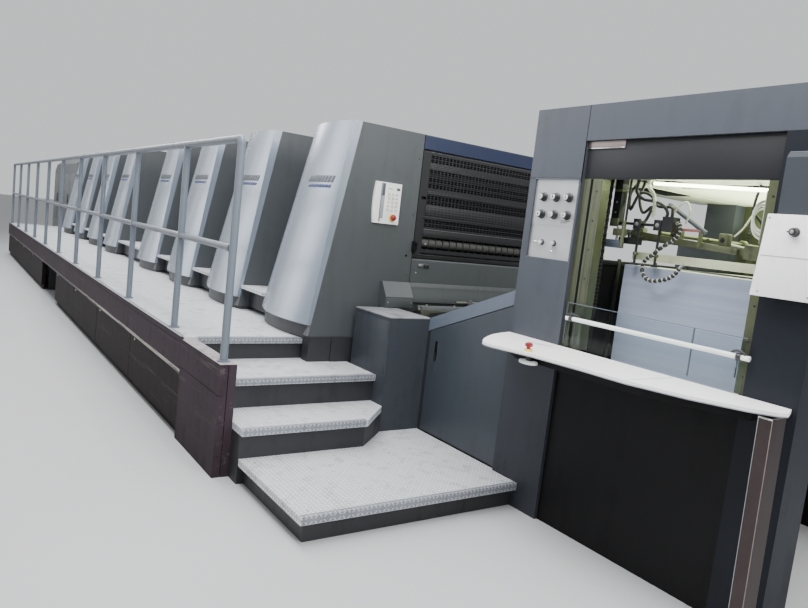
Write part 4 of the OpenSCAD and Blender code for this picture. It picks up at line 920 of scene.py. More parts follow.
def add_knob_panel(context):
    """Dials on the six knobs, print and screws on the plates, and collars under the levers."""
    z_foot, x_foot = 1.33, 6.064
    for i in range(6):
        x, z = x_foot + 0.066 + (i % 3) * 0.087, z_foot + 0.314 - (i // 3) * 0.088
        face = -FEEDER_HALF + 0.015 - 0.006 - 0.0003 - 0.029
        dial = Shape("dial_white", "black_plastic", "print_ink")
        at = Vector((x, face, z))
        dial.turned([(0, -0.0005), (0.0138, -0.0005), (0.0138, 0.0012), (0.0128, 0.002), (0, 0.002)],
                    at, -Y, 24, "dial_white")
        dial.turned([(0, 0.0015), (0.004, 0.0015), (0.004, 0.0042), (0.0032, 0.005), (0, 0.005)], at, -Y, 12,
                    "black_plastic")
        for k in range(10):
            a = math.radians(-120 + k * 26.7)
            out = Vector((math.sin(a), 0, math.cos(a)))
            p = at + out * 0.0102 + Vector((0, -0.002, 0))
            dial.block(p - Vector((0.0007, 0.0004, 0.0007)), p + Vector((0.0007, 0.0004, 0.0007)), 0.0001,
                       "print_ink")
        for k in range(12):
            a = math.tau * k / 12
            p = at + Vector((math.sin(a) * 0.0178, 0.014, math.cos(a) * 0.0178))
            dial.rod(p + Vector((0, 0.008, 0)), p - Vector((0, 0.008, 0)), 0.0012, "black_plastic", 6)
        dial.done(f"knob_dial_{i + 1}", f"knob_{i + 1}")

    panel = Shape("print_ink", "brushed", "black_plastic", "flange_paint")
    face = -FEEDER_HALF + 0.015 - 0.006
    for y, heights in ((face, (0.19, 0.39)), (face + 0.002, (0.015, 0.155))):
        panel.screws([(x_foot + dx, y, z_foot + dz) for dx in (0.012, 0.282) for dz in heights],
                     -Y, 0.004, "brushed")
    for dx, low, high in ((0.262, 0.196, 0.2), (0.245, 0.188, 0.191)):
        panel.block((x_foot + 0.2, face - 0.0006, z_foot + low), (x_foot + dx, face + 0.001, z_foot + high),
                    0.0002, "print_ink")
    for dx in (0.091, 0.175):
        panel.turned([(0.0105, 0), (0.016, 0), (0.016, 0.0015), (0.0135, 0.004), (0.0105, 0.004),
                      (0.0105, 0)],
                     (x_foot + dx, face + 0.002, z_foot + 0.082), -Y, 20, "black_plastic")
    # The rolled edge of the recess
    for z in (z_foot, z_foot + 0.406):
        panel.block((x_foot - 0.002, -FEEDER_HALF - 0.001, z - 0.002),
                    (x_foot + 0.296, -FEEDER_HALF + 0.004, z + 0.002), 0.0008, "flange_paint")
    panel.done("knob_panel_print")


def add_feeder_outside(context):
    """Column seams, the bare plate under the beam, beam joints and screws, and the top caps."""
    part = Shape("smudged_plate", "black_metal", "chrome", "pit_black", "apron_painted_shade", "worn_plate")
    # A dark plate over the apron below the beam: painted shade of the beam's overhang.
    part.block((JAMB_X + 0.004, -0.7565, 1.742), (POST_X - 0.004, -0.752, 1.918), 0.0015, "apron_painted_shade")
    part.block((JAMB_X + 0.002, -0.7605, 1.886), (6.592, -0.756, 1.918), 0.0012, "worn_plate")
    part.block((JAMB_X + 0.002, -0.762, 1.881), (6.592, -0.756, 1.886), 0.0015, "chrome")
    part.block((JAMB_X - 0.0015, -FEEDER_HALF - 0.0008, BEAM_FOOT - 0.2),
               (JAMB_X + 0.0015, -FEEDER_HALF + 0.004, BEAM_TOP - 0.002), 0.0004, "pit_black")
    part.block((COLUMN_X + 0.004, -FEEDER_HALF - 0.0008, 1.738),
               (JAMB_X - 0.004, -FEEDER_HALF + 0.003, 1.7405),
               0.0004, "pit_black")
    bolts = (COLUMN_X + 0.03, JAMB_X - 0.03, JAMB_X + 0.15, JAMB_X + 0.48, JAMB_X + 0.81)
    part.hexheads(product(bolts, (-0.69, 0.69), (BEAM_TOP,)), Z, 0.01, "black_metal")
    part.done("feeder_trim")

    top = Shape("grey_plastic")
    top.turned([(0, 0), (0.075, 0), (0.075, 0.008), (0.06, 0.012), (0.0, 0.012)],
               (6.12, 0.69, BEAM_TOP - 0.012), Z, 28, "grey_plastic")
    top.done("column_cap")


def add_guide_parts(context):
    """Wear strips on the guide rails, a rack of holes, and small rollers in the slot."""
    guide = Shape("oily_steel", "pit_black", "brushed", "black_metal")
    for x, half in ((JAMB_X + 0.012, 0.003), (JAMB_X + 0.034, 0.003), (6.443, 0.004), (6.475, 0.004)):
        guide.block((x - half, -0.7565, 0.93), (x + half, -0.7545, 1.735), 0.001, "oily_steel")
    guide.screws([(x, -0.755, 0.98 + i * 0.14) for i in range(6) for x in (6.459, 7.307)],
                 -Y, 0.005, "black_metal")
    # A black block filling the slot between the rails: painted shade.
    guide.block((6.4155, -0.7555, 0.925), (6.4305, -0.712, 1.738), 0.0005, "pit_black")
    guide.done("guide_parts")


def chain(shape, x, y, z0, z1):
    """A leaf chain made of paired plates and rollers."""
    pitch = 0.019
    for i in range(int((z1 - z0) / pitch)):
        z = z0 + (i + 0.5) * pitch
        off = 0.0062 if i % 2 else 0.0036
        for side in (-1, 1):
            shape.block((x - 0.0065, y + side * off - 0.0011, z - 0.0125),
                        (x + 0.0065, y + side * off + 0.0011, z + 0.0125),
                        0.0025, "black_metal", 1)
        shape.rod((x, y - 0.0075, z - pitch / 2), (x, y + 0.0075, z - pitch / 2), 0.0045, "oily_steel", 6)


def add_chains(context):
    """Roller chains that stand for the plain bars of the CAD part."""
    chains = Shape("black_metal", "oily_steel")
    for x, side in product((JAMB_X + 0.08, POST_X - 0.08), SIDES):
        chain(chains, x, side * 0.64, 0.006, CANOPY_FOOT)
    chains.done("hoist_roller_chains", slot="black_metal", stands_for=["hoist_chains"])


# ---------------------------------------------------------------- sheet separation


HOSE_START = Vector((6.715, -0.55, 1.558))
HOSE_DROP = ((58.3, 0, 6), (66, 0, 6), (74, 0, 6), (88, -6, -22), (78, -11, -55), (54, -13, -80),
             (12, -15, -108),
             (-28, -18, -146), (-58, -21, -172), (-70, -28, -206), (-48, -34, -252), (-4, -38, -268),
             (40, -36, -262), (78, -30, -248), (104, -24, -226), (122, -18, -196))
HOSE_JOINTS = 28


def hose_place(t):
    """Point on the segmented hose's route, the same curve as the CAD part's."""
    return spline([HOSE_START + Vector(q) / 1000 for q in HOSE_DROP], t)


def add_hose_rings(context):
    """A pale ring in each waist of the segmented hose, and a nozzle at its end."""
    rings = Shape("pale_tube", "brushed")
    span, last = len(HOSE_DROP) - 1, HOSE_JOINTS * 4 - 1
    for j in range(1, HOSE_JOINTS):
        t = span * (4 * j - 0.5) / last
        here, way = hose_place(t), hose_place(t + 0.02) - hose_place(t - 0.02)
        rings.ring(here, way, 0.0068, 0.0021, "pale_tube", 12, 6)
    end, way = hose_place(span), hose_place(span) - hose_place(span - 0.05)
    way.normalize()
    rings.turned([(0.004, 0), (0.0085, 0.0), (0.0085, 0.008), (0.004, 0.03), (0.0028, 0.03), (0.0028, 0.004),
                  (0.004, 0)], end - way * 0.002, way, 16, "brushed")
    rings.done("hose_rings")


def spring(shape, x, y, z0, z1, r, wire, turns, look):
    """A coil spring as a tube along a helix."""
    steps = turns * 10
    shape.tube([(x + r * math.cos(math.tau * turns * k / steps),
                 y + r * math.sin(math.tau * turns * k / steps),
                 z0 + (z1 - z0) * k / steps) for k in range(steps + 1)], wire, look, 5)


def add_sheet_head(context):
    """Brackets, suckers, springs, rails, tubes and fittings round the suction head."""
    head = Shape("green_cast", "black_metal", "brushed", "lit_steel", "pink_bar", "cream_paint", "rubber")
    # Slanted side rail and the cream beam over the pile
    head.plate([(6.40, -0.462, 1.50), (7.03, -0.462, 1.45), (7.03, -0.462, 1.478), (6.40, -0.462, 1.528)],
               (0, 0.024, 0), "green_cast", 0.002)
    head.block((6.50, -0.475, 1.378), (7.19, -0.44, 1.418), 0.004, "cream_paint")
    head.block((6.76, -0.50, 1.535), (6.87, -0.485, 1.548), 0.002, "pink_bar")
    head.block((6.765, -0.50, 1.50), (6.77, -0.47, 1.536), 0.001, "green_cast")
    head.block((6.86, -0.50, 1.47), (6.865, -0.47, 1.536), 0.001, "green_cast")
    # Castings, bolts and springs on the beam
    for y in (-0.38, -0.2, 0.2, 0.38):
        head.block((7.035, y - 0.028, 1.44), (7.06, y + 0.028, 1.50), 0.004, "green_cast")
        head.hexhead((7.035, y, 1.47), -X, 0.009, "brushed")
        head.block((7.07, y - 0.03, 1.53), (7.125, y + 0.03, 1.56), 0.005, "lit_steel")
        head.hexhead((7.095, y + 0.018, 1.56), Z, 0.007, "brushed")
    for y in (-0.33, -0.11, 0.11, 0.33):
        spring(head, 7.095, y, 1.384, 1.432, 0.0115, 0.0018, 6, "brushed")
        head.turned([(0.004, 0), (0.024, 0.0), (0.025, 0.002), (0.02, 0.008), (0.012, 0.012), (0.004, 0.012),
                     (0.004, 0)], (7.095, y, 1.354), Z, 20, "rubber")
    # Cross shafts and links between the arms
    head.rod((6.60, -0.42, 1.52), (6.60, 0.42, 1.52), 0.011, "lit_steel")
    head.rod((6.86, -0.42, 1.505), (6.86, 0.42, 1.505), 0.009, "lit_steel")
    for y in (-0.3, -0.12, 0.12, 0.3):
        head.wheel(0.009, 0.022, -0.014, 0.014, (0.002, 0.003), (6.86, y, 1.505), Y, 18, "green_cast")
        head.rod((6.86, y, 1.505), (7.07, y, 1.47), 0.006, "brushed")
    for x in (6.50, 6.70, 6.95):
        for side in (-1, 1):
            head.block((x - 0.022, side * 0.43 - 0.02, 1.475), (x + 0.022, side * 0.43 + 0.02, 1.54), 0.004,
                       "green_cast")
            head.hexhead((x, side * 0.45, 1.51), Y * side, 0.008, "black_metal")
    head.done("head_castings", slot="green_cast")

    gear = Shape("black_metal", "brushed", "green_cast", "pale_tube", "flange_paint", "cream_paint",
                 "lit_steel")
    y = -0.55
    # Clamps and screws of the side blower
    for x in (6.575, 6.69):
        gear.block((x - 0.02, y - 0.025, 1.525), (x + 0.02, y - 0.016, 1.575), 0.002, "black_metal")
        gear.hexhead((x, y - 0.025, 1.55), -Y, 0.007, "brushed")
        gear.wheel(0.0063, 0.013, 0, 0.014, (0.001, 0.002), (x, y, 1.40), Z, 14, "lit_steel")
    gear.block((6.42, y - 0.026, 1.70), (6.468, y + 0.026, 1.712), 0.002, "green_cast")
    gear.block((6.418, y - 0.03, 1.53), (6.466, y - 0.021, 1.57), 0.002, "green_cast")
    gear.screws(product((6.438,), (y - 0.022,), (1.60, 1.65)), -Y, 0.005, "brushed")
    gear.block((6.46, -0.60, 1.485), (6.53, -0.575, 1.52), 0.003, "green_cast")
    gear.block((6.40, -0.60, 1.425), (6.52, -0.575, 1.465), 0.004, "flange_paint")
    gear.rod((6.48, -0.588, 1.462), (6.48, -0.588, 1.53), 0.006, "brushed")
    gear.rod((6.522, -0.60, 1.43), (6.522, -0.60, 1.56), 0.009, "green_cast", 16)
    # Ribbed pale tube that arches down beside the black hoses
    arch = curve([(6.60, -0.56, 1.765), (6.62, -0.575, 1.72), (6.655, -0.585, 1.69), (6.668, -0.585, 1.64),
                  (6.66, -0.575, 1.585)], 6)
    gear.tube(arch, 0.0075, "pale_tube", 10)
    for a, b in zip(arch[2:-1:2], arch[3::2]):
        gear.ring(a, b - a, 0.0085, 0.0016, "cream_paint", 12, 5)
    # White hose from the head over to the manifold
    gear.tube(curve([(6.80, -0.52, 1.57), (6.82, -0.53, 1.62), (6.80, -0.53, 1.665), (6.765, -0.53, 1.65),
                     (6.74, -0.53, 1.615)], 6), 0.0045, "pale_tube", 8)
    gear.rod((6.68, -0.49, 1.657), (6.89, -0.49, 1.533), 0.011, "flange_paint")
    gear.done("blower_fittings")

    tubes = Shape("pale_tube", "black_plastic", "brushed")
    for k, (shift, r) in enumerate(((0.0, 0.0055), (0.014, 0.0055), (0.03, 0.004))):
        tubes.tube(curve([(7.25, -0.66, 1.672 - shift), (7.21, -0.665, 1.66 - shift),
                          (7.192, -0.665, 1.615 - shift),
                          (7.205, -0.66, 1.565 - shift), (7.245, -0.65, 1.54 - shift)], 7), r, "pale_tube", 8)
    tubes.tube(curve([(7.05, -0.35, 1.70), (7.04, -0.40, 1.63), (7.02, -0.42, 1.57), (6.99, -0.43, 1.53)], 6),
               0.004, "pale_tube", 8)
    for y in (-0.33, -0.11, 0.11, 0.33):
        tubes.tube(curve([(7.095, y, 1.53), (7.06, y - 0.02, 1.6), (7.03, y - 0.05, 1.66),
                          (7.05, y - 0.06, 1.765)],
                         6), 0.0065, "black_plastic", 8)
    tubes.block((7.235, -0.675, 1.50), (7.27, -0.64, 1.71), 0.004, "brushed")
    tubes.done("air_tubes")


def add_canopy_parts(context):
    """The lit tube in its holders, dark hatches and the edge strip on the lining."""
    lamp = Shape("lamp_tube", "brushed")
    ends = Vector((6.60, -0.54, 1.748)), Vector((7.245, -0.54, 1.722))
    lamp.rod(*ends, 0.008, "lamp_tube", 18)
    for end, way in zip(ends, (1, -1)):
        lamp.turned([(0, -0.012), (0.0088, -0.012), (0.0094, -0.01), (0.0094, 0.014), (0.0082, 0.016),
                     (0, 0.016)], end, (ends[1] - ends[0]) * way, 18, "brushed")
    lamp.done("lit_tube", slot="lamp_tube", stands_for=["lamp"])

    part = Shape("cream_paint", "brushed", "pit_black")
    low = CANOPY_FOOT
    # The black plates on the lining are painted shadow.
    part.block((6.50, -0.50, low - 0.004), (6.70, -0.40, low - 0.0005), 0.001, "pit_black")
    part.block((6.78, -0.36, low - 0.004), (7.12, -0.28, low - 0.0005), 0.001, "pit_black")
    part.block((6.60, -0.30, low - 0.012), (7.24, -0.27, low), 0.003, "cream_paint")
    part.block((6.06, -0.6, low - 0.002), (JAMB_X + 0.004, 0.7, low + 0.004), 0.0015, "cream_paint")
    part.block((6.2, -0.2, low - 0.006), (6.36, 0.14, low - 0.0015), 0.001, "pit_black")
    for end in ends:
        part.block((end.x - 0.008, -0.556, end.z - 0.002), (end.x + 0.008, -0.524, low), 0.002, "cream_paint")
    part.screws(product((6.45, 6.85, 7.26), (-0.2,), (low,)), -Z, 0.006, "brushed")
    part.done("canopy_parts", slot="cream_paint")


# ---------------------------------------------------------------- guard, console, control box


def add_guard_and_bar(context):
    """The seam and bright edges of the clear guard, and the handle bar with its black hooks."""
    bar = Shape("white_paint", "black_plastic")
    bar.rod((6.4225, -0.797, 1.06), (7.3435, -0.797, 1.06), 0.0105, "white_paint", 24)
    for x in (6.45, 7.27):
        bar.block((x - 0.012, -0.795, 1.05), (x + 0.012, -0.767, 1.07), 0.003, "black_plastic")
    bar.done("handle_bar", "sliding_guard", "white_paint", stands_for=["guard_bar"])

    part = Shape("brushed", "black_plastic", "white_paint", "flange_paint")
    y = -0.767
    part.block((7.079, y - 0.0015, 0.93), (7.0825, y + 0.0075, 1.132), 0.0006, "flange_paint")
    # Strips along the top and left edges of the clear sheet: painted highlights.
    part.block((6.391, y - 0.0006, 1.1305), (7.309, y + 0.0066, 1.1335), 0.0008, "flange_paint")
    part.block((6.3895, y - 0.0006, 0.929), (6.3925, y + 0.0066, 1.132), 0.0008, "flange_paint")
    bar_y, bar_z = -0.797, 1.06
    for x, way in ((6.452, 1), (7.305, -1)):
        hook = [(x - 0.028 * way, bar_y - 0.004, bar_z + 0.012), (x, bar_y - 0.006, bar_z + 0.024),
                (x + 0.03 * way, bar_y + 0.004, bar_z + 0.016), (x + 0.045 * way, bar_y + 0.014, bar_z)]
        part.tube(curve(hook, 5), 0.005, "black_plastic", 10)
        part.wheel(0.0104, 0.015, -0.01, 0.01, (0.0015, 0.003), (x, bar_y, bar_z), X, 20, "black_plastic")
    for x in (6.4225, 7.3435):
        end = -1 if x < 7 else 1
        part.turned([(0, 0), (0.0105, 0), (0.0115, 0.001), (0.0115, 0.003), (0.009, 0.005), (0, 0.006)],
                    (x - end * 0.001, bar_y, bar_z), X * end, 18, "white_paint")
    part.done("guard_fittings", "sliding_guard")


TABLE_ROUTE = ((0, -18), (28, -100), (75, -196), (150, -305), (218, -382), (258, -412), (305, -420),
               (370, -408), (527, -369))
TABLE_END = FEEDER_END + 0.012


def table_outline():
    """Plan of the console table's free edge, the same as the CAD part's."""
    route = [Vector((COLUMN_X + x / 1000, -FEEDER_HALF + y / 1000, 0)) for x, y in TABLE_ROUTE]
    joint = (COLUMN_X + 1.02, -FEEDER_HALF - 0.337)
    return [p.to_2d() for p in curve(route, 5)] + [
        (joint[0] - 0.224, joint[1] - 0.006), joint, (TABLE_END - 0.268, -FEEDER_HALF - 0.275),
        (TABLE_END - 0.089, -FEEDER_HALF - 0.189), (TABLE_END - 0.016, -FEEDER_HALF - 0.13),
        (TABLE_END, -FEEDER_HALF - 0.09)]


def add_console(context):
    """Edge lip, slits, emergency stop, oval handle and leg edges of the console table."""
    lip = Shape("grey_plastic")
    form = bmesh.new()
    verts = [form.verts.new((x, y, TABLE_H - 0.0155)) for x, y in table_outline()]
    edges = [form.edges.new(pair) for pair in zip(verts, verts[1:])]
    made = bmesh.ops.extrude_edge_only(form, edges=edges)["geom"]
    bmesh.ops.translate(form, vec=(0, 0, 0.004), verts=[g for g in made if isinstance(g, bmesh.types.BMVert)])
    bmesh.ops.solidify(form, geom=form.faces[:], thickness=0.0016)
    lip.join(form, None).done("table_lip", slot="table_white")

    table = Shape("table_white", "black_plastic", "red_plastic", "yellow_plastic", "grey_plastic",
                  "print_ink")
    top = TABLE_H
    table.plate([(6.291, -0.903, top + 0.0008), (6.416, -0.862, top + 0.0008), (6.416, -0.856, top + 0.0008),
                 (6.291, -0.897, top + 0.0008)], (0, 0, -0.002), "print_ink", 0)
    stop = Vector((6.497, -1.106, top))
    table.turned([(0, 0), (0.018, 0), (0.018, 0.008), (0.016, 0.01), (0, 0.01)], stop, Z, 24,
                 "yellow_plastic")
    table.turned([(0, 0.01), (0.01, 0.01), (0.01, 0.02), (0.017, 0.022), (0.0185, 0.027), (0.017, 0.036),
                  (0.01, 0.039), (0, 0.04)], stop, Z, 24, "red_plastic")
    table.block((7.036, -1.11, top - 0.001), (7.04, -0.79, top + 0.0006), 0.0002, "grey_plastic")
    # Oval pull below the front edge
    rim = [(6.5 + 0.05 * math.cos(math.tau * k / 24), -1.10 + 0.036 * math.sin(math.tau * k / 24), 0.868)
           for k in range(24)]
    table.plate(rim, (0, 0, -0.014), "table_white", 0.005)
    table.block((6.485, -1.105, 0.866), (6.515, -1.08, 0.897), 0.004, "black_plastic")
    table.done("table_fittings", slot="table_white")

    leg = Shape("brushed", "black_metal", "chrome", "worn_plate")
    front_top, front_foot, height = -0.965, -0.935, TABLE_H - 0.018
    # Thin pale strips on the leg's two front edges: painted highlights.
    for x in (TABLE_END - 0.052, TABLE_END - 0.0025):
        leg.plate([(x, front_foot - 0.001, 0.0), (x + 0.0025, front_foot - 0.001, 0.0),
                   (x + 0.0025, front_top - 0.001, height), (x, front_top - 0.001, height)], (0, 0.003, 0),
                  "brushed" if x < TABLE_END - 0.03 else "worn_plate", 0.0005)
    leg.block((TABLE_END - 0.052, front_top - 0.002, height - 0.004),
              (TABLE_END, front_top + 0.004, height + 0.0015),
              0.0008, "chrome")
    leg.block((TABLE_END - 0.052, -0.94, 0), (TABLE_END, -0.875, 0.008), 0.002, "black_metal")
    leg.done("leg_edges", slot="brushed")


def add_control_box(context):
    """The smudged white panel with its black knob, and the lit top edge of the control box."""
    part = Shape("smeared_white", "black_plastic", "brushed", "flange_paint", "print_ink")
    part.plate([(7.322, -0.8205, 1.304), (7.545, -0.8205, 1.304), (7.545, -0.8205, 1.608),
                (7.342, -0.8205, 1.608)],
               (0, -0.0155, 0), "smeared_white", 0.003)
    part.block((7.338, -0.8375, 1.4545), (7.54, -0.835, 1.4565), 0.0006, "brushed")
    knob = Vector((7.452, -0.836, 1.546))
    part.turned([(0, 0), (0.017, 0), (0.017, 0.004), (0.0145, 0.006), (0.0145, 0.022), (0.012, 0.026),
                 (0, 0.026)], knob, -Y, 22, "black_plastic")
    part.block(knob + Vector((-0.024, -0.016, -0.0025)), knob + Vector((-0.012, -0.008, 0.0025)), 0.001,
               "black_plastic")
    part.turned([(0, 0.0255), (0.007, 0.0255), (0.007, 0.0275), (0.006, 0.028), (0, 0.028)], knob, -Y, 14,
                "brushed")
    part.screws(product((7.352, 7.532), (-0.836,), (1.322, 1.594)), -Y, 0.004, "brushed")
    # Strip along the top edge of the control box: painted highlight.
    part.block((7.37, -0.807, 1.834), (7.558, -0.776, 1.8375), 0.0012, "flange_paint")
    for z in (1.68, 1.75):
        part.block((7.47, -0.8215, z), (7.53, -0.819, z + 0.03), 0.001, "print_ink")
    part.done("control_box_panel", slot="white_paint")


# ---------------------------------------------------------------- base, pile and delivery


def add_base_and_delivery(context):
    """Levelling feet, base hatches, delivery doors, grips and vents, and slats of the pile boards."""
    base = Shape("base_paint", "brushed")
    for face, side in product(UNIT_FACES, SIDES):
        y = side * 1.18
        base.hexheads(product((face - 0.12, face - 0.5), (y,), (0.12,)), Y * side, 0.014, "brushed")
        base.block((face - 0.45, y - 0.003, 0.2), (face - 0.17, y + 0.003, 0.52), 0.002, "base_paint")
        base.screws(product((face - 0.435, face - 0.185), (side * 1.183,), (0.215, 0.505)), Y * side, 0.006,
                    "brushed")
    base.done("base_hatches", slot="base_paint")

    tail = Shape("delivery_paint", "black_plastic", "brushed", "pit_black", "silver_paint")
    length = (DELIVERY_X - DELIVERY_END) / 4
    for i in range(4):
        x0 = DELIVERY_END + i * length
        for side in (-1, 1):
            y = side * 1.1
            low, high = sorted((y - side * 0.002, y + side * 0.004))
            tail.block((x0 + 0.06, low, 0.72), (x0 + length - 0.06, high, 1.72), 0.002, "delivery_paint")
            low, high = sorted((y, y + side * 0.022))
            tail.block((x0 + length - 0.14, low, 1.12), (x0 + length - 0.11, high, 1.3), 0.006,
                       "black_plastic")
            for z in (0.8, 1.64):
                tail.screw((x0 + 0.085, y + side * 0.004, z), Y * side, 0.007, "brushed")
            low, high = sorted((y - side * 0.001, y + side * 0.003))
            for k in range(6):
                z = 0.2 + k * 0.05
                tail.block((x0 + 0.2, low, z), (x0 + length - 0.2, high, z + 0.018), 0.001, "pit_black")
    tail.block((DELIVERY_END - 0.003, -0.85, 1.56), (DELIVERY_END + 0.002, 0.85, 1.72), 0.002, "silver_paint")
    for y in (-0.6, 0, 0.6):
        tail.block((DELIVERY_END - 0.02, y - 0.08, 1.62), (DELIVERY_END - 0.001, y + 0.08, 1.645), 0.004,
                   "black_plastic")
    tail.done("delivery_doors", slot="delivery_paint")

    stop = Shape("pit_black", "black_metal")
    stop.block((6.398, -0.69, 0.56), (6.404, 0.69, 1.36), 0.002, "pit_black")
    for y in (-0.45, -0.15, 0.15, 0.45):
        stop.block((6.404, y - 0.012, 0.7), (6.412, y + 0.012, 1.37), 0.002, "black_metal")
    stop.block((6.392, -0.71, 1.335), (6.41, 0.71, 1.36), 0.003, "black_metal")
    stop.done("front_stop", slot="black_metal")

    slats = Shape("board_wood", "black_metal")
    for i in range(9):
        y = -0.52 + i * 0.128
        slats.block((6.49, y, 0.5195), (7.21, y + 0.016, 0.5215), 0.0006, "board_wood")
    slats.block((6.486, -0.5305, 0.53), (6.4905, 0.5305, 0.57), 0.001, "black_metal")
    slats.block((7.2095, -0.5305, 0.53), (7.214, 0.5305, 0.57), 0.001, "black_metal")
    slats.done("pile_board_edges", "pile", "board_wood")


# ---------------------------------------------------------------- stage


def look_at(obj, target):
    """Turns a light towards a place."""
    obj.rotation_euler = (Vector(target) - obj.location).to_track_quat("-Z", "Y").to_euler()


def add_light(name, at, target, size, power, colour=(1, 1, 1), gloss_only=False):
    """A flat studio light. One that is gloss_only shows in reflections and lights nothing else."""
    data = bpy.data.lights.new(name, "AREA")
    data.shape, data.size, data.size_y = "RECTANGLE", size[0], size[1]
    data.energy, data.color = power, colour
    light = bpy.data.objects.new(name, data)
    bpy.context.scene.collection.objects.link(light)
    light.location = at
    look_at(light, target)
    light.visible_camera = False
    light.visible_diffuse = not gloss_only


def add_stage(context):
    """Pale floor, pale surroundings, soft studio light and the photo's camera."""
    stage = context.scene.press_stage
    bm = bmesh.new()
    bmesh.ops.create_grid(bm, x_segments=4, y_segments=4, size=stage.floor_size / 2)
    mesh = bpy.data.meshes.new("floor")
    bm.to_mesh(mesh)
    bm.free()
    floor = bpy.data.objects.new("floor", mesh)
    context.scene.collection.objects.link(floor)
    n = Surface("floor_pale")
    tone = n.mix(n.noise(n.place(), 0.8, 3.0), srgb(176, 177, 179), srgb(184, 185, 187))
    mesh.materials.append(n.done({"Base Color": tone, "Roughness": 0.6}))

    world = bpy.data.worlds.new("studio")
    world.use_nodes = True
    context.scene.world = world
    n = Nodes(world.node_tree)
    ground = world.node_tree.nodes["Background"]
    ground.inputs["Color"].default_value = (0.96, 0.98, 1.0, 1)
    ground.inputs["Strength"].default_value = stage.ambient
    shown = n.add("ShaderNodeBackground", {"Color": srgb(226, 228, 230), "Strength": 1.0})
    rays = n.add("ShaderNodeLightPath").outputs
    direct = n.math("MAXIMUM", rays["Is Camera Ray"], rays["Is Transmission Ray"])
    mixed = n.add("ShaderNodeMixShader", {0: direct, 1: ground.outputs[0], 2: shown.outputs[0]})
    n.feed(world.node_tree.nodes["World Output"].inputs["Surface"], mixed.outputs[0])

    window = stage.window
    green = (0.93, 1.0, 0.74)
    for light in (
            ("ceiling_near", (5.5, -2.2, 4.6), (5.5, -2.0, 0), (9.0, 1.6), stage.key),
            ("ceiling_far", (-4.0, -2.2, 4.6), (-4.0, -2.0, 0), (9.0, 1.6), stage.key),
            ("ceiling_drive", (0.0, 3.0, 4.6), (0.0, 2.0, 0), (16.0, 1.6), stage.key),
            ("front_fill", (13.0, -3.8, 3.6), (5.0, -0.9, 0.9), (4.0, 3.0), stage.fill),
            ("feeder_end", (10.8, 0.6, 3.8), (4.8, -0.5, 1.4), (3.0, 2.0), stage.end),
            ("feeder_top", (6.7, -2.5, 3.5), (6.8, -0.8, 1.9), (2.4, 0.6), stage.top),
            ("canopy_up", (6.86, 0.2, 1.60), (6.86, 0.2, 2.0), (0.84, 1.0), stage.canopy * 2.6, green),
            ("canopy_down", (6.85, -0.1, 1.74), (6.85, -0.1, 0.0), (0.8, 1.0), stage.canopy * 0.8, green)):
        add_light(*light)
    for light in (
            ("side_window", (-6.5, -10.5, 4.0), (4.7, -1.3, 1.4), (5.0, 7.0), window),
            ("far_window", (-15.0, -9.7, 3.6), (4.5, -1.3, 1.3), (0.9, 6.5), window * 0.22),
            ("cover_window", (6.1, -8.5, 3.2), (4.9, -1.3, 1.3), (1.6, 5.0), window * 0.3)):
        add_light(*light, gloss_only=True)

    camera = bpy.data.cameras.new("photo_camera")
    camera.sensor_width = 36
    camera.lens = 686.485 / 808 * 36
    view = bpy.data.objects.new("photo_camera", camera)
    context.scene.collection.objects.link(view)
    yaw, pitch, roll = (math.radians(a) for a in (145.2115, -6.35434, 6.50142))
    ahead = Vector((math.cos(pitch) * math.cos(yaw), math.cos(pitch) * math.sin(yaw), math.sin(pitch)))
    right = ahead.cross(Z).normalized()
    up = right.cross(ahead)
    right, up = (math.cos(roll) * right + math.sin(roll) * up, math.cos(roll) * up - math.sin(roll) * right)
    turn = Matrix((right, up, -ahead)).transposed().to_4x4()
    view.matrix_world = Matrix.Translation((8.71, -3.36, 1.408)) @ turn
    context.scene.camera = view


# ---------------------------------------------------------------- add-on


class PressStage(bpy.types.PropertyGroup):
    """Settings of the floor and the studio light."""

    floor_size: bpy.props.FloatProperty(
        name="Floor Size", description="Side of the square floor", default=160.0, unit="LENGTH")
    ambient: bpy.props.FloatProperty(
        name="Ambient", description="Strength of the light from all round", default=0.55, subtype="FACTOR")
    key: bpy.props.FloatProperty(
        name="Ceiling Power", description="Power of each ceiling light in watts", default=430.0, unit="POWER")
    fill: bpy.props.FloatProperty(
        name="Fill Power", description="Power of the light from the camera's side", default=150.0,
        unit="POWER")
    end: bpy.props.FloatProperty(
        name="End Power", description="Power of the light past the feeder end", default=180.0, unit="POWER")
    top: bpy.props.FloatProperty(
        name="Feeder Power", description="Power of the light over the feeder's front", default=62.0,
        unit="POWER")
    canopy: bpy.props.FloatProperty(
        name="Canopy Power", description="Power of the greenish light under the canopy", default=7.0,
        unit="POWER")
    window: bpy.props.FloatProperty(
        name="Window Power", description="Power of the tall window that the covers mirror", default=380.0,
        unit="POWER")


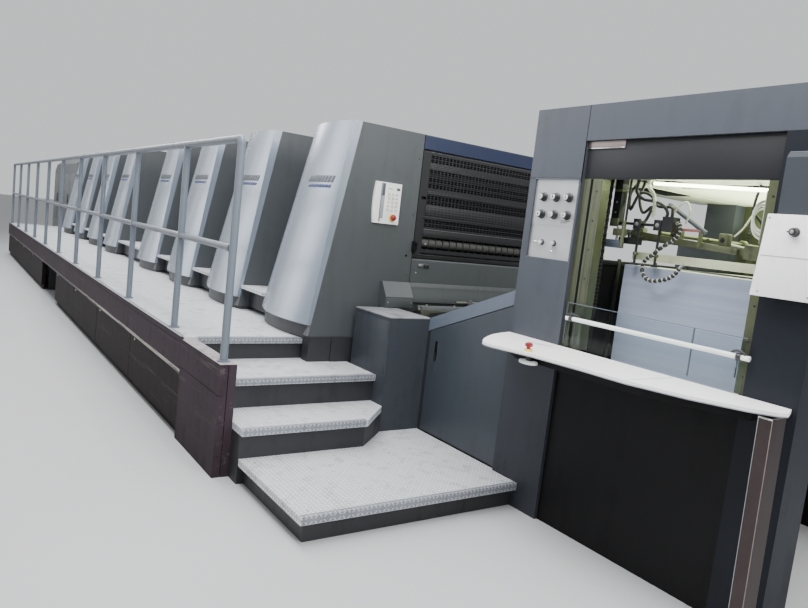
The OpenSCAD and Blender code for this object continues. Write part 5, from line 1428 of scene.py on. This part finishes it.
STEPS = (
    ("looks", "Materials", "Makes the shared effects and every material", add_looks),
    ("unit_faces", "Unit Faces", "Bars, bands, rollers, latches and handles on the guards", add_unit_faces),
    ("cover_marks", "Cover Marks", "A generic mark on each side cover", add_cover_marks),
    ("control_panel", "Control Panel", "Buttons and emergency stop of the first unit", add_control_panel),
    ("gallery", "Gallery", "Nosings, fascia parts, railing collars and screws", add_gallery),
    ("feed_section", "Feed Section", "Post box lid, door grip, flange screws and board parts",
     add_feed_section),
    ("knob_panel", "Knob Panel", "Dials, print and screws of the knob panel", add_knob_panel),
    ("feeder_outside", "Feeder Outside", "Bare plate, seams and screws of the feeder frame",
     add_feeder_outside),
    ("guide_parts", "Guide Rails", "Wear strips and screws of the guide rails", add_guide_parts),
    ("chains", "Hoist Chains", "Roller chains of the pile hoist", add_chains),
    ("hose_rings", "Hose Rings", "Pale rings and nozzle of the segmented hose", add_hose_rings),
    ("sheet_head", "Sheet Head", "Castings, springs, tubes and fittings over the pile", add_sheet_head),
    ("canopy_parts", "Canopy", "Lamp holders, hatches and strips of the lining", add_canopy_parts),
    ("guard_and_bar", "Guard And Bar", "Seams and hooks of the sliding guard", add_guard_and_bar),
    ("console", "Console", "Lip, slits, stop button, pull and leg of the table", add_console),
    ("control_box", "Control Box", "White panel and knob of the control box", add_control_box),
    ("base_delivery", "Base And Delivery", "Hatches, doors, grips, vents and slats", add_base_and_delivery),
    ("stage", "Stage", "Floor, light and camera", add_stage),
)


def make_operator(key, label, text, build):
    """An operator class that runs one building step and raises if it fails."""

    def execute(self, context):
        build(context)
        return {"FINISHED"}

    return type(f"PRESS_OT_{key}", (bpy.types.Operator,), {
        "__doc__": text, "bl_idname": f"press.{key}", "bl_label": label, "bl_options": {"REGISTER", "UNDO"},
        "execute": execute})


OPERATORS = [make_operator(*step) for step in STEPS]


class PRESS_PT_panel(bpy.types.Panel):
    """Lists the building steps of the press."""

    bl_label = "Offset Printing Press"
    bl_idname = "PRESS_PT_panel"
    bl_space_type = "VIEW_3D"
    bl_region_type = "UI"
    bl_category = "Press"

    def draw(self, context):
        for key, label, text, build in STEPS:
            self.layout.operator(f"press.{key}", text=label)
        for name in ("floor_size", "ambient", "key", "fill", "end", "top", "canopy", "window"):
            self.layout.prop(context.scene.press_stage, name)


def register():
    bpy.utils.register_class(PressStage)
    for cls in OPERATORS:
        bpy.utils.register_class(cls)
    bpy.utils.register_class(PRESS_PT_panel)
    bpy.types.Scene.press_stage = bpy.props.PointerProperty(type=PressStage)


def unregister():
    del bpy.types.Scene.press_stage
    bpy.utils.unregister_class(PRESS_PT_panel)
    for cls in reversed(OPERATORS):
        bpy.utils.unregister_class(cls)
    bpy.utils.unregister_class(PressStage)


def main():
    """Builds everything round the frame and notes the size before and after."""
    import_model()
    register()
    for key, label, text, build in STEPS:
        getattr(bpy.ops.press, key)()


if __name__ == "__main__":
    main()
